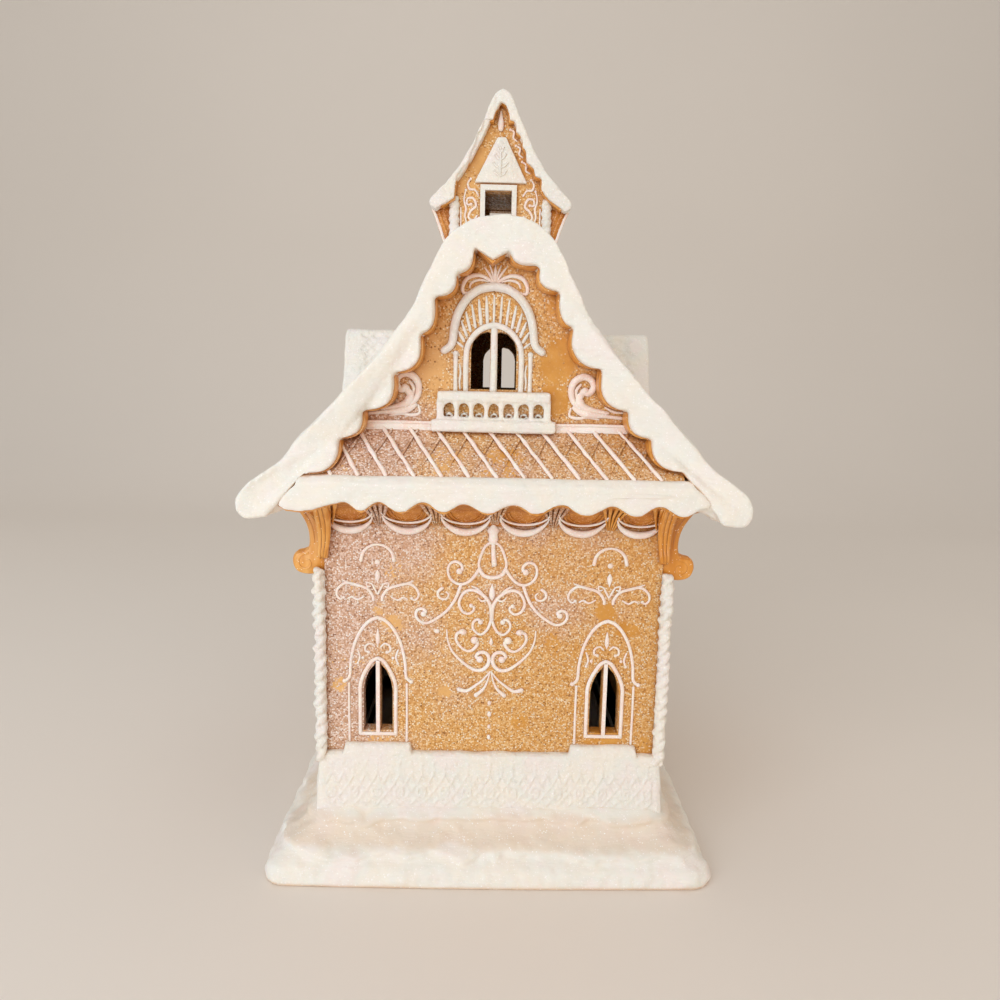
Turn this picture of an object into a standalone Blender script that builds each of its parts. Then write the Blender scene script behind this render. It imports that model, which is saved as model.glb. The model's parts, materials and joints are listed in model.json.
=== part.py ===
# Gingerbread house ornament: one hollow casting, standing on its own snow base.
# Metres, +Z up. The front gable faces -Y. The origin is under the middle of the base.
# Outlines are pairs of X and Z on the front, or of half width and height.
import bpy
import bmesh
from math import pi, sin, cos, hypot, radians
from mathutils import Matrix, Vector

# Walls and the room inside
WALL_HALF = 0.0885
WALL_THICK = 0.0075
WALL_FOOT = 0.0550
ROOM_FLOOR = 0.0120
ROOM_TOP = 0.2150
EMBED = 0.0012
CUT_PAST = 0.0040

# Base of snow and plinth: half width and height of each level
BASE_LEVELS = (
    (0.1162, 0.0), (0.1172, 0.0030), (0.1155, 0.0090), (0.1060, 0.0165),
    (0.0985, 0.0240), (0.0944, 0.0295), (0.0922, 0.0590), (0.0905, 0.0610),
)
MOUND_TOP = 0.0280
MOUND_CORNER = 0.0160
MOUND_BOW = 0.0022
PLINTH_CORNER = 0.0025

# Cornice round all four sides: cove, snow eave and skirt roof
EAVE_LEVELS = (
    (0.0800, 0.1740), (0.0893, 0.1760), (0.0915, 0.1840), (0.0970, 0.1915), (0.1080, 0.1985),
    (0.1165, 0.2020), (0.1185, 0.2070), (0.1172, 0.2130), (0.1125, 0.2165),
    (0.0997, 0.2260), (0.0897, 0.2370), (0.0800, 0.2380),
)
EAVE_FACE = 0.1172
EAVE_PLATE = 0.0060
EAVE_LOBES = 9
EAVE_LOBE_PITCH = 0.0230
EAVE_LOBE_DROP = 0.0045
EAVE_CUSP_Z = 0.2015
EAVE_TOP_Z = 0.2110
TIP_REACH = 0.0128
TIP_XYZ = (0.1128, 0.1080, 0.2028)
TIP_LEVELS = ((0.30, -0.80), (0.635, -0.35), (0.635, 0.35), (0.36, 0.80))

# Slanting bars of icing on the skirt roof
LATTICE_BARS = 11
LATTICE_START = -0.0745
LATTICE_PITCH = 0.0133
LATTICE_TOP = (0.0897, 0.2375)
LATTICE_FOOT = (0.1140, 0.2160)
LATTICE_LEAN = 0.0185
LATTICE_SECTION = ((-0.0011, 0.0012, -0.0014), (0.0, -0.0010, 0.0012), (0.0011, 0.0012, -0.0014))

# Swags in the cove
SWAGS = 6
SWAG_PITCH = 0.0300
SWAG_HALF = 0.0125
SWAG_TOP = 0.1930
SWAG_DROP = 0.0095
SWAG_WIDE = 0.0034
SWAG_HIGH = 0.0060
SWAG_FACE = 0.0900

# Main gable: half outline of the snow verge, from the top down to the tip
VERGE_HALF = (
    (0.0, 0.3357), (0.0140, 0.3336), (0.0252, 0.3262), (0.0360, 0.3070), (0.0455, 0.2890),
    (0.0742, 0.2540), (0.0915, 0.2372), (0.1030, 0.2228), (0.1120, 0.2166), (0.1205, 0.2105),
    (0.1245, 0.2030), (0.1215, 0.1955), (0.1110, 0.1950),
)
VERGE_FRONT = 0.1050
VERGE_BACK = 0.0868
VERGE_CUSPS = (
    (0.0090, 0.3220), (0.0215, 0.3100), (0.0310, 0.2980), (0.0400, 0.2810),
    (0.0530, 0.2630), (0.0660, 0.2440), (0.0775, 0.2290), (0.0895, 0.2160),
)
VERGE_CENTRE_LOBE = 0.0062
VERGE_LOBE = 0.0048
VERGE_CHAMFER = 0.0020
ROOF_SINK = 0.0035
ROOF_FOOT = (0.1120, 0.2050)
ROOF_UNDER = 0.1990
ATTIC_HALF = (
    (0.0, 0.3215), (0.0140, 0.3165), (0.0272, 0.3005), (0.0370, 0.2820),
    (0.0657, 0.2470), (0.0785, 0.2310), (0.0785, 0.2000),
)
ATTIC_SHORT = 0.0004

# Small steep gables on both sides
SIDE_VERGE_HALF = (
    (0.0, 0.2905), (0.0060, 0.2888), (0.0105, 0.2820), (0.0155, 0.2670), (0.0215, 0.2525),
    (0.0290, 0.2425), (0.0360, 0.2365), (0.0375, 0.2310), (0.0330, 0.2270),
)
SIDE_CUSPS = ((0.0045, 0.2790), (0.0085, 0.2680), (0.0130, 0.2560), (0.0200, 0.2450), (0.0270, 0.2370))
SIDE_CENTRE_LOBE = 0.0040
SIDE_LOBE = 0.0026
SIDE_CHAMFER = 0.0012
SIDE_SINK = 0.0020
SIDE_FOOT = (0.0340, 0.2280)
SIDE_INNER = 0.0300
SIDE_FACE = 0.0800
SIDE_VERGE = 0.0920
SIDE_WINDOW_HALF = 0.0055
SIDE_WINDOW_Z = (0.2510, 0.2620)
SIDE_WINDOW_RISE = 0.0075
SIDE_FRAME_GAP = 0.0020

# Tower on the ridge
TOWER_HALF = 0.0275
TOWER_FOOT = 0.3150
TOWER_VERGE_HALF = (
    (0.0, 0.4180), (0.0040, 0.4155), (0.0072, 0.4085), (0.0120, 0.3980), (0.0180, 0.3860),
    (0.0258, 0.3738), (0.0326, 0.3664), (0.0385, 0.3608), (0.0395, 0.3565), (0.0360, 0.3540),
)
TOWER_CUSPS = (
    (0.0026, 0.4080), (0.0078, 0.3975), (0.0125, 0.3860), (0.0180, 0.3750), (0.0232, 0.3640),
)
TOWER_CENTRE_LOBE = 0.0026
TOWER_LOBE = 0.0018
TOWER_CHAMFER = 0.0010
TOWER_SINK = 0.0022
TOWER_UNDER = ((0.0355, 0.3562), (TOWER_HALF, 0.3572))
TOWER_VERGE = 0.0345
TOWER_ROOM_HALF = 0.0215
TOWER_ROOM_Z = (0.3430, 0.3662)
TOWER_SHAFT_HALF = 0.0150
TOWER_SHAFT_Z = (0.3050, 0.3500)
TOWER_WINDOW_HALF = 0.0075
TOWER_WINDOW_Z = (0.3526, 0.3657)
TOWER_FRAME_GAP = 0.0016
TOWER_FRAME = 0.0026
TOWER_PEDIMENT = ((-0.0149, 0.3703), (0.0149, 0.3703), (0.0, 0.3945))
TOWER_PEDIMENT_HIGH = 0.0028
TOWER_POST = 0.0048
TOWER_POST_TOP = 0.3600
TOWER_POST_STEPS = 5
TOWER_BRACKET = (
    (0.0255, 0.3570), (0.0370, 0.3570), (0.0365, 0.3520), (0.0320, 0.3470),
    (0.0300, 0.3400), (0.0255, 0.3360),
)
TOWER_BRACKET_AT = 0.0240
TOWER_BRACKET_HALF = 0.0030

# Ropes of icing at the corners
ROPE_AT = 0.0912
ROPE_SIDE = 0.0050
ROPE_Z = (0.0575, 0.1600)
ROPE_STEP = 0.00307
ROPE_TURN = radians(45)

# Scrolled brackets: distance out of the wall and height
BRACKET_FROM = 0.0785
BRACKET_TO = 0.0872
BRACKET_PROFILE = (
    (-0.0015, 0.2000), (0.0215, 0.2010), (0.0140, 0.1930), (0.0085, 0.1855), (0.0070, 0.1775),
    (0.0085, 0.1722), (0.0132, 0.1712), (0.0160, 0.1665), (0.0148, 0.1615), (0.0100, 0.1592),
    (0.0040, 0.1598), (-0.0015, 0.1620),
)

# Lower lancet windows, two on each side
LANCET_AT = 0.0615
LANCET_PANE = (
    (0.0011, 0.0725), (0.0078, 0.0725), (0.0078, 0.0960), (0.0067, 0.1015), (0.0044, 0.1065),
    (0.0011, 0.1105),
)
LANCET_HOOD_HALF = 0.0136
LANCET_HOOD_Z = (0.1060, 0.1120)
LANCET_HOOD_RISE = 0.0240
LANCET_HOOD_FOOT = (0.0172, 0.1020)
LANCET_FRAME_HALF = 0.0092
LANCET_FRAME_Z = (0.0695, 0.0975)
LANCET_FRAME_RISE = 0.0160
SILL_HALF = 0.0178
SILL_Z = (0.0600, 0.0655)
SILL_DEEP = 0.0042

# Gable window, front and back
GABLE_PANE = (
    (0.0018, 0.2560), (0.0115, 0.2560), (0.0115, 0.2765), (0.0103, 0.2805), (0.0067, 0.2840),
    (0.0030, 0.2805), (0.0018, 0.2765),
)
GABLE_HOOD_HALF = 0.0232
GABLE_HOOD_Z = (0.2755, 0.2830)
GABLE_HOOD_RISE = 0.0235
GABLE_HOOD_FOOT = (0.0272, 0.2735)
GABLE_HOOD_WIDE = 0.0046
GABLE_HOOD_HIGH = 0.0030
GABLE_FRAME_HALF = 0.0138
GABLE_FRAME_Z = (0.2550, 0.2740)
GABLE_FRAME_RISE = 0.0125
GABLE_FRAME_WIDE = 0.0026
GABLE_POST_AT = 0.0190
RAYS = 7
RAY_NEAR = (0.0152, 0.0142, 0.2745)
RAY_FAR = (0.0186, 0.0215, 0.2765)
COURSE_X = (0.0310, 0.0710)
COURSE_Z = (0.2362, 0.2406)
COURSE_DEEP = 0.0036
GABLE_SCROLL = (0.0442, 0.2585, 0.0062)
GABLE_SCROLL_TAIL = ((0.0640, 0.2425), (0.0560, 0.2460))

# Balcony under the gable window
BALCONY_HALF = 0.0300
BALCONY_DEEP = 0.0060
BALCONY_SLAB_Z = (0.2345, 0.2400)
BALCONY_RAIL_Z = (0.2496, 0.2540)
BALCONY_COMB_Z = (0.2390, 0.2505)
BALCONY_LIP = 0.0012
BALCONY_ARCHES = 7
BALCONY_PITCH = 0.0076
BALCONY_ARCH = (
    (-0.0028, 0.2390), (-0.0028, 0.2450), (-0.0017, 0.2472), (0.0, 0.2480),
    (0.0017, 0.2472), (0.0028, 0.2450), (0.0028, 0.2390),
)

# Piping
PIPE = 0.0022
THIN_PIPE = 0.0015
BOLD_PIPE = 0.0026
RELIEF = 0.0016
LOOP_CENTRE = 0.1640
LOOP_HALF = (0.0064, 0.0102)
CURL_START = ((0.0060, 0.1640), (0.0110, 0.1560))
CURL_SPIRAL = (0.0190, 0.1612, 0.0058)
TAIL_START = ((0.0075, 0.1550), (0.0160, 0.1480), (0.0240, 0.1400))
TAIL_SPIRAL = (0.0340, 0.1385, 0.0062)
ARC_FROM = (0.0240, 0.1300)
ARC_RUN = (0.0215, 0.0235)
FLAT_ANGLE = radians(0.6)
MERGE = 0.00002

SNOW = bpy.data.materials.new("snow_icing")
BREAD = bpy.data.materials.new("gingerbread")


def set_materials():
    """Give both finishes their colour, roughness and metallic value."""
    looks = ((SNOW, (0.80, 0.77, 0.70, 1.0), 0.62), (BREAD, (0.50, 0.24, 0.085, 1.0), 0.48))
    for material, colour, roughness in looks:
        material.use_nodes = True
        shader = material.node_tree.nodes["Principled BSDF"]
        shader.inputs["Base Color"].default_value = colour
        shader.inputs["Roughness"].default_value = roughness
        shader.inputs["Metallic"].default_value = 0.0
        material.diffuse_color = colour


def clear_scene():
    """Remove whatever the scene holds."""
    for item in list(bpy.data.objects):
        bpy.data.objects.remove(item, do_unlink=True)


def new_group(name):
    """A collection linked to the scene."""
    group = bpy.data.collections.new(name)
    bpy.context.scene.collection.children.link(group)
    return group


def finish(bm, group, material, turn=0):
    """Close a mesh, turn it about Z by quarter turns and put it in a collection."""
    bmesh.ops.recalc_face_normals(bm, faces=bm.faces)
    bm.transform(Matrix.Rotation(turn * pi / 2, 4, "Z"))
    mesh = bpy.data.meshes.new("piece")
    bm.to_mesh(mesh)
    bm.free()
    mesh.materials.append(material)
    piece = bpy.data.objects.new("piece", mesh)
    group.objects.link(piece)
    return piece


def plate(outline, back, front, group, material, turn=0, chamfer=0.0):
    """Extrude an outline in X and Z from y = -back to y = -front."""
    bm = bmesh.new()
    face = bm.faces.new([bm.verts.new((x, -back, z)) for x, z in outline])
    grown = bmesh.ops.extrude_face_region(bm, geom=[face])["geom"]
    verts = [item for item in grown if isinstance(item, bmesh.types.BMVert)]
    bmesh.ops.translate(bm, verts=verts, vec=(0.0, back - front, 0.0))
    if chamfer > 0.0:
        edges = [edge for edge in bm.edges if all(vert in verts for vert in edge.verts)]
        bmesh.ops.bevel(bm, geom=edges, offset=chamfer, segments=1, profile=0.5,
                        affect="EDGES", material=-1, clamp_overlap=True)
    return finish(bm, group, material, turn)


def bridge(rings, group, material, turn=0):
    """Join closed rings of points one after the other, and cap both ends."""
    bm = bmesh.new()
    rows = [[bm.verts.new(point) for point in ring] for ring in rings]
    count = len(rows[0])
    for one, two in zip(rows, rows[1:]):
        for k in range(count):
            after = (k + 1) % count
            bm.faces.new((one[k], one[after], two[after], two[k]))
    bm.faces.new(rows[0])
    bm.faces.new(reversed(rows[-1]))
    return finish(bm, group, material, turn)


def stroke(path, width, height, group, turn=0, face=WALL_HALF, end=1.0):
    """Pipe a ridge of three-sided section along a path on the front face."""
    rings = []
    last = len(path) - 1
    for i, (x, z) in enumerate(path):
        before = path[max(i - 1, 0)]
        after = path[min(i + 1, last)]
        run = Vector((after[0] - before[0], after[1] - before[1])).normalized()
        size = end if i in (0, last) else 1.0
        side = Vector((-run.y, run.x)) * (width / 2 * size)
        rings.append([
            (x + side.x, -face + EMBED, z + side.y),
            (x, -face - height * size, z),
            (x - side.x, -face + EMBED, z - side.y),
        ])
    return bridge(rings, group, SNOW, turn)


def box(low, high, group, material, turn=0):
    """Add a box between two corners."""
    bm = bmesh.new()
    bmesh.ops.create_cube(bm, size=1.0)
    bmesh.ops.scale(bm, verts=bm.verts, vec=Vector(high) - Vector(low))
    bmesh.ops.translate(bm, verts=bm.verts, vec=(Vector(high) + Vector(low)) / 2)
    return finish(bm, group, material, turn)


def ledge(x_range, deep, z_range, group, turn):
    """Add a flat bar of icing that stands out of the front wall."""
    low = (min(x_range), -WALL_HALF - deep, z_range[0])
    high = (max(x_range), -WALL_HALF + EMBED, z_range[1])
    return box(low, high, group, SNOW, turn)


def mirrored(half):
    """Close a half outline that starts on the middle line into a whole one."""
    left = [(-x, z) for x, z in reversed(half) if x > 0.0]
    return left + list(half)


def sunk(half, depth):
    """The same half outline, moved inwards by a depth."""
    found = []
    last = len(half) - 1
    for i, (x, z) in enumerate(half):
        ax, az = half[max(i - 1, 0)]
        bx, bz = half[min(i + 1, last)]
        length = hypot(bx - ax, bz - az)
        shift_x = depth * (bz - az) / length
        shift_z = -depth * (bx - ax) / length
        found.append((0.0 if i == 0 else x + shift_x, z + shift_z))
    return found


def lobes_between(cusps, bulge, steps=3):
    """Hang a rounded lobe between each two neighbouring cusps, on the inner side."""
    found = []
    for (x0, z0), (x1, z1) in zip(cusps, cusps[1:]):
        dx, dz = x1 - x0, z1 - z0
        length = hypot(dx, dz)
        for s in range(steps):
            t = s / steps
            out = bulge * sin(pi * t ** 0.85) / length
            found.append((x0 + dx * t + dz * out, z0 + dz * t - dx * out))
    found.append(cusps[-1])
    return found


def verge(outer_half, cusps, centre_drop, bulge):
    """Outline of a snow verge: plain outer edge, scalloped inner edge."""
    inner = lobes_between(cusps, bulge)
    outline = mirrored(outer_half) + list(reversed(inner))
    outline.append((0.0, cusps[0][1] - centre_drop))
    return outline + [(-x, z) for x, z in inner]


def arch_line(cx, half, z_range, rise, steps):
    """A pointed arch with legs, as a path from its left foot to its right foot."""
    found = [(cx - half, z_range[0])]
    for s in range(steps + 1):
        angle = pi / 2 * s / steps
        found.append((cx - half * max(cos(angle), 0.0) ** 0.75, z_range[1] + rise * sin(angle)))
    return found + [(2 * cx - x, z) for x, z in reversed(found[:-1])]


def spiral(cx, cz, radius, start, turns, count, tight=0.35):
    """Points of a spiral that winds inwards from its outer radius."""
    found = []
    for i in range(count):
        t = i / (count - 1)
        angle = start + 2 * pi * turns * t
        reach = radius * (1.0 - (1.0 - tight) * t)
        found.append((cx + reach * cos(angle), cz + reach * sin(angle)))
    return found


def flipped(path, side):
    """The same path, mirrored to the other side where side is -1."""
    return [(side * x, z) for x, z in path]


def rounded_square(half, corner, bow, z):
    """Ring of a square with round corners and slightly bowed sides."""
    ring = []
    for k in range(4):
        facing = Matrix.Rotation(k * pi / 2, 3, "Z")
        ring.append(facing @ Vector((half + bow, 0.0, z)))
        for degrees in (0, 45, 90):
            x = half - corner + corner * cos(radians(degrees))
            y = half - corner + corner * sin(radians(degrees))
            ring.append(facing @ Vector((x, y, z)))
    return ring


def square(cx, cy, half, z, angle=0.0):
    """Ring of four corners, turned by an angle."""
    reach = half * 2 ** 0.5
    turns = [angle + pi / 4 + k * pi / 2 for k in range(4)]
    return [Vector((cx + reach * cos(a), cy + reach * sin(a), z)) for a in turns]


def twisted_bar(cx, cy, side, z_range, steps, group, turn=0):
    """Rope of icing: a square bar with an even twist."""
    low, high = z_range
    rings = [square(cx, cy, side / 2, low + (high - low) * i / steps, ROPE_TURN * i)
             for i in range(steps + 1)]
    return bridge(rings, group, SNOW, turn)


def build_body():
    """Walls, gables and main roof as one extruded outline."""
    half = sunk(VERGE_HALF, ROOF_SINK)[:-3]
    half += [ROOF_FOOT, (WALL_HALF, ROOF_UNDER), (WALL_HALF, WALL_FOOT)]
    body = plate(mirrored(half), -WALL_HALF, WALL_HALF, bpy.context.scene.collection, BREAD)
    body.name = "house"
    return body


def build_base(group):
    """Snow mound and plinth."""
    rings = []
    for half, z in BASE_LEVELS:
        in_mound = z < MOUND_TOP
        corner = MOUND_CORNER if in_mound else PLINTH_CORNER
        rings.append(rounded_square(half, corner, MOUND_BOW if in_mound else 0.0, z))
    bridge(rings, group, SNOW)


def build_cornice(group):
    """Cove, eave band and skirt roof, with the scalloped snow edge of each side."""
    bridge([square(0.0, 0.0, half, z) for half, z in EAVE_LEVELS], group, SNOW)
    reach = EAVE_LOBES * EAVE_LOBE_PITCH / 2
    outline = [(reach, EAVE_TOP_Z), (-reach, EAVE_TOP_Z)]
    steps = 3
    for k in range(EAVE_LOBES * steps):
        hang = EAVE_LOBE_DROP * sin(pi * (k % steps) / steps)
        outline.append((-reach + k / steps * EAVE_LOBE_PITCH, EAVE_CUSP_Z - hang))
    outline.append((reach, EAVE_CUSP_Z))
    for turn in range(4):
        plate(outline, EAVE_FACE - EAVE_PLATE, EAVE_FACE, group, SNOW, turn)
    tip_x, tip_y, tip_z = TIP_XYZ
    for sx in (-1, 1):
        for sy in (-1, 1):
            rings = [square(sx * tip_x, sy * tip_y, TIP_REACH * wide, tip_z + TIP_REACH * high, pi / 4)
                     for wide, high in TIP_LEVELS]
            bridge(rings, group, SNOW)


def build_lattice(group):
    """Slanting bars of icing on the skirt roof."""
    drop = Vector((LATTICE_LEAN, LATTICE_TOP[0] - LATTICE_FOOT[0], LATTICE_FOOT[1] - LATTICE_TOP[1]))
    for turn in range(4):
        for k in range(LATTICE_BARS):
            top = Vector((LATTICE_START + LATTICE_PITCH * k, -LATTICE_TOP[0], LATTICE_TOP[1]))
            rings = [[place + Vector(corner) for corner in LATTICE_SECTION] for place in (top, top + drop)]
            bridge(rings, group, SNOW, turn)


def build_swags(group):
    """Swags of icing in the cove under the eave."""
    for turn in range(4):
        for k in range(SWAGS):
            cx = (k - (SWAGS - 1) / 2) * SWAG_PITCH
            path = [(cx - SWAG_HALF * cos(pi * s / 3), SWAG_TOP - SWAG_DROP * sin(pi * s / 3))
                    for s in range(4)]
            stroke(path, SWAG_WIDE, SWAG_HIGH, group, turn, face=SWAG_FACE)


def build_verges(group):
    """Thick scalloped snow along both main gables."""
    outline = verge(VERGE_HALF, VERGE_CUSPS, VERGE_CENTRE_LOBE, VERGE_LOBE)
    for turn in (0, 2):
        plate(outline, VERGE_BACK, VERGE_FRONT, group, SNOW, turn, VERGE_CHAMFER)


def build_side_gables(group):
    """Small steep gables on both sides, with a window frame each."""
    body = mirrored(sunk(SIDE_VERGE_HALF, SIDE_SINK)[:-2] + [SIDE_FOOT])
    outline = verge(SIDE_VERGE_HALF, SIDE_CUSPS, SIDE_CENTRE_LOBE, SIDE_LOBE)
    frame = arch_line(0.0, SIDE_WINDOW_HALF + SIDE_FRAME_GAP, SIDE_WINDOW_Z,
                      SIDE_WINDOW_RISE + SIDE_FRAME_GAP, 3)
    for turn in (1, 3):
        plate(body, SIDE_INNER, SIDE_FACE, group, BREAD, turn)
        plate(outline, SIDE_FACE - EMBED, SIDE_VERGE, group, SNOW, turn, SIDE_CHAMFER)
        stroke(frame, PIPE, RELIEF, group, turn, face=SIDE_FACE)


def build_tower(group):
    """Little tower on the ridge, with a gable roof that runs along Y."""
    half = sunk(TOWER_VERGE_HALF, TOWER_SINK)[:-2]
    half += list(TOWER_UNDER) + [(TOWER_HALF, TOWER_FOOT)]
    plate(mirrored(half), -TOWER_HALF, TOWER_HALF, group, BREAD)
    outline = verge(TOWER_VERGE_HALF, TOWER_CUSPS, TOWER_CENTRE_LOBE, TOWER_LOBE)
    jamb = TOWER_WINDOW_HALF + TOWER_FRAME_GAP
    sill, lintel = TOWER_WINDOW_Z[0] - TOWER_FRAME_GAP, TOWER_WINDOW_Z[1] + TOWER_FRAME_GAP
    frame = [(-jamb, sill), (-jamb, lintel), (jamb, lintel), (jamb, sill)]
    for turn in (0, 2):
        plate(outline, TOWER_HALF - EMBED, TOWER_VERGE, group, SNOW, turn, TOWER_CHAMFER)
        plate(TOWER_PEDIMENT, TOWER_HALF - EMBED, TOWER_HALF + TOWER_PEDIMENT_HIGH, group, SNOW, turn)
        stroke(frame, TOWER_FRAME, PIPE, group, turn, face=TOWER_HALF)
        for side in (-1, 1):
            for at in (-TOWER_BRACKET_AT, TOWER_BRACKET_AT):
                if turn == 0:
                    plate(flipped(TOWER_BRACKET, side), at - TOWER_BRACKET_HALF, at + TOWER_BRACKET_HALF,
                          group, BREAD)
    for sx in (-1, 1):
        for sy in (-1, 1):
            twisted_bar(sx * TOWER_HALF, sy * TOWER_HALF, TOWER_POST, (TOWER_FOOT, TOWER_POST_TOP),
                        TOWER_POST_STEPS, group)


def build_corners(group):
    """Scrolled brackets under the cornice, two at each corner, and the rope below them."""
    steps = round((ROPE_Z[1] - ROPE_Z[0]) / ROPE_STEP)
    for turn in range(4):
        twisted_bar(ROPE_AT, -ROPE_AT, ROPE_SIDE, ROPE_Z, steps, group, turn)
        for side in (-1, 1):
            outline = [(side * (WALL_HALF + out), z) for out, z in BRACKET_PROFILE]
            plate(outline, BRACKET_FROM, BRACKET_TO, group, BREAD, turn)


def build_lancets(group):
    """Hood, frame and sill of each lower window."""
    foot_x, foot_z = LANCET_HOOD_FOOT
    for turn in range(4):
        for cx in (-LANCET_AT, LANCET_AT):
            hood = arch_line(cx, LANCET_HOOD_HALF, LANCET_HOOD_Z, LANCET_HOOD_RISE, 3)
            hood = [(cx - foot_x, foot_z)] + hood + [(cx + foot_x, foot_z)]
            stroke(hood, PIPE, RELIEF, group, turn)
            frame = arch_line(cx, LANCET_FRAME_HALF, LANCET_FRAME_Z, LANCET_FRAME_RISE, 3)
            stroke(frame, PIPE, RELIEF, group, turn)
            ledge((cx - SILL_HALF, cx + SILL_HALF), SILL_DEEP, SILL_Z, group, turn)


def build_gable_fronts(group):
    """Window, sunburst, scrolls and string course of both main gables."""
    foot_x, foot_z = GABLE_HOOD_FOOT
    for turn in (0, 2):
        hood = arch_line(0.0, GABLE_HOOD_HALF, GABLE_HOOD_Z, GABLE_HOOD_RISE, 5)
        hood = [(-foot_x, foot_z)] + hood + [(foot_x, foot_z)]
        stroke(hood, GABLE_HOOD_WIDE, GABLE_HOOD_HIGH, group, turn)
        frame = arch_line(0.0, GABLE_FRAME_HALF, GABLE_FRAME_Z, GABLE_FRAME_RISE, 4)
        stroke(frame, GABLE_FRAME_WIDE, PIPE, group, turn)
        for k in range(RAYS):
            angle = pi * (k + 0.5) / RAYS
            ray = [(wide * cos(angle), z + high * sin(angle)) for wide, high, z in (RAY_NEAR, RAY_FAR)]
            stroke(ray, PIPE, RELIEF, group, turn)
        for side in (-1, 1):
            post = [(GABLE_POST_AT, GABLE_FRAME_Z[0]), (GABLE_POST_AT, GABLE_HOOD_Z[0])]
            stroke(flipped(post, side), PIPE, RELIEF, group, turn)
            curl = list(GABLE_SCROLL_TAIL) + spiral(*GABLE_SCROLL, pi * 1.5, -1.0, 7)
            stroke(flipped(curl, side), PIPE, RELIEF, group, turn)
            ledge((side * COURSE_X[0], side * COURSE_X[1]), COURSE_DEEP, COURSE_Z, group, turn)
        build_balcony(group, turn)


def build_balcony(group, turn):
    """Slab, comb of small arches and rail."""
    ledge((-BALCONY_HALF - BALCONY_LIP, BALCONY_HALF + BALCONY_LIP), BALCONY_DEEP + BALCONY_LIP,
          BALCONY_SLAB_Z, group, turn)
    ledge((-BALCONY_HALF, BALCONY_HALF), BALCONY_DEEP, BALCONY_RAIL_Z, group, turn)
    reach = BALCONY_ARCHES * BALCONY_PITCH / 2
    low, high = BALCONY_COMB_Z
    edge = reach + BALCONY_LIP
    comb = [(edge, low), (edge, high), (-edge, high), (-edge, low)]
    for k in range(BALCONY_ARCHES):
        cx = -reach + (k + 0.5) * BALCONY_PITCH
        comb += [(cx + x, z) for x, z in BALCONY_ARCH]
    plate(comb, WALL_HALF - EMBED, WALL_HALF + BALCONY_DEEP - BALCONY_LIP, group, SNOW, turn)


def build_wall_piping(group):
    """The large scrolls between the lower windows, front and back."""
    wide, high = LOOP_HALF
    loop = [(wide * sin(pi * s / 4), LOOP_CENTRE + high * cos(pi * s / 4)) for s in range(9)]
    curl = list(CURL_START) + spiral(*CURL_SPIRAL, -pi / 2, 0.85, 6)
    tail = list(TAIL_START) + spiral(*TAIL_SPIRAL, -pi * 0.75, 0.95, 6)
    arc = [(ARC_FROM[0] - ARC_RUN[0] * sin(pi * s / 10), ARC_FROM[1] - ARC_RUN[1] * (1 - cos(pi * s / 10)))
           for s in range(6)]
    for turn in (0, 2):
        stroke(loop, THIN_PIPE, RELIEF, group, turn)
        for side in (-1, 1):
            stroke(flipped(curl, side), PIPE, RELIEF, group, turn)
            stroke(flipped(tail, side), PIPE, RELIEF, group, turn)
            stroke(flipped(arc, side), BOLD_PIPE, RELIEF, group, turn, end=0.45)


def build_voids(group):
    """Room, attic, tower room and every window, to be cut away."""
    inside = WALL_HALF - WALL_THICK
    box((-inside, -inside, ROOM_FLOOR), (inside, inside, ROOM_TOP), group, BREAD)
    attic = inside - ATTIC_SHORT
    plate(mirrored(ATTIC_HALF), -attic, attic, group, BREAD)
    shaft = TOWER_SHAFT_HALF
    box((-shaft, -shaft, TOWER_SHAFT_Z[0]), (shaft, shaft, TOWER_SHAFT_Z[1]), group, BREAD)
    room = TOWER_ROOM_HALF
    box((-room, -room, TOWER_ROOM_Z[0]), (room, room, TOWER_ROOM_Z[1]), group, BREAD)
    wide, reach = TOWER_WINDOW_HALF, TOWER_HALF + 2 * CUT_PAST
    box((-wide, -reach, TOWER_WINDOW_Z[0]), (wide, reach, TOWER_WINDOW_Z[1]), group, BREAD)
    arch = arch_line(0.0, SIDE_WINDOW_HALF, SIDE_WINDOW_Z, SIDE_WINDOW_RISE, 2)
    through = SIDE_VERGE + CUT_PAST
    plate(arch, -through, through, group, BREAD, 1)
    for turn in range(4):
        for cx in (-LANCET_AT, LANCET_AT):
            for side in (-1, 1):
                pane = [(cx + side * x, z) for x, z in LANCET_PANE]
                plate(pane, inside - CUT_PAST, WALL_HALF + CUT_PAST, group, BREAD, turn)
        if turn % 2 == 0:
            for side in (-1, 1):
                plate(flipped(GABLE_PANE, side), inside - CUT_PAST, WALL_HALF + CUT_PAST, group, BREAD, turn)


def apply_boolean(body, group, operation):
    """Join a collection to the body, or cut it away, and remove the collection's objects."""
    change = body.modifiers.new(operation.lower(), "BOOLEAN")
    change.operation = operation
    change.operand_type = "COLLECTION"
    change.collection = group
    change.solver = "EXACT"
    change.material_mode = "TRANSFER"
    graph = bpy.context.evaluated_depsgraph_get()
    mesh = bpy.data.meshes.new_from_object(body.evaluated_get(graph))
    body.modifiers.remove(change)
    body.data = mesh
    for piece in list(group.objects):
        bpy.data.objects.remove(piece, do_unlink=True)
    bpy.data.collections.remove(group)


def clean(body):
    """Merge points that lie almost on each other and flatten needless edges."""
    bm = bmesh.new()
    bm.from_mesh(body.data)
    bmesh.ops.remove_doubles(bm, verts=bm.verts, dist=MERGE)
    bmesh.ops.dissolve_degenerate(bm, edges=bm.edges, dist=MERGE)
    bmesh.ops.dissolve_limit(bm, angle_limit=FLAT_ANGLE, verts=bm.verts, edges=bm.edges)
    bmesh.ops.triangulate(bm, faces=bm.faces)
    bm.to_mesh(body.data)
    bm.free()
    body.data.name = "house"


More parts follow.
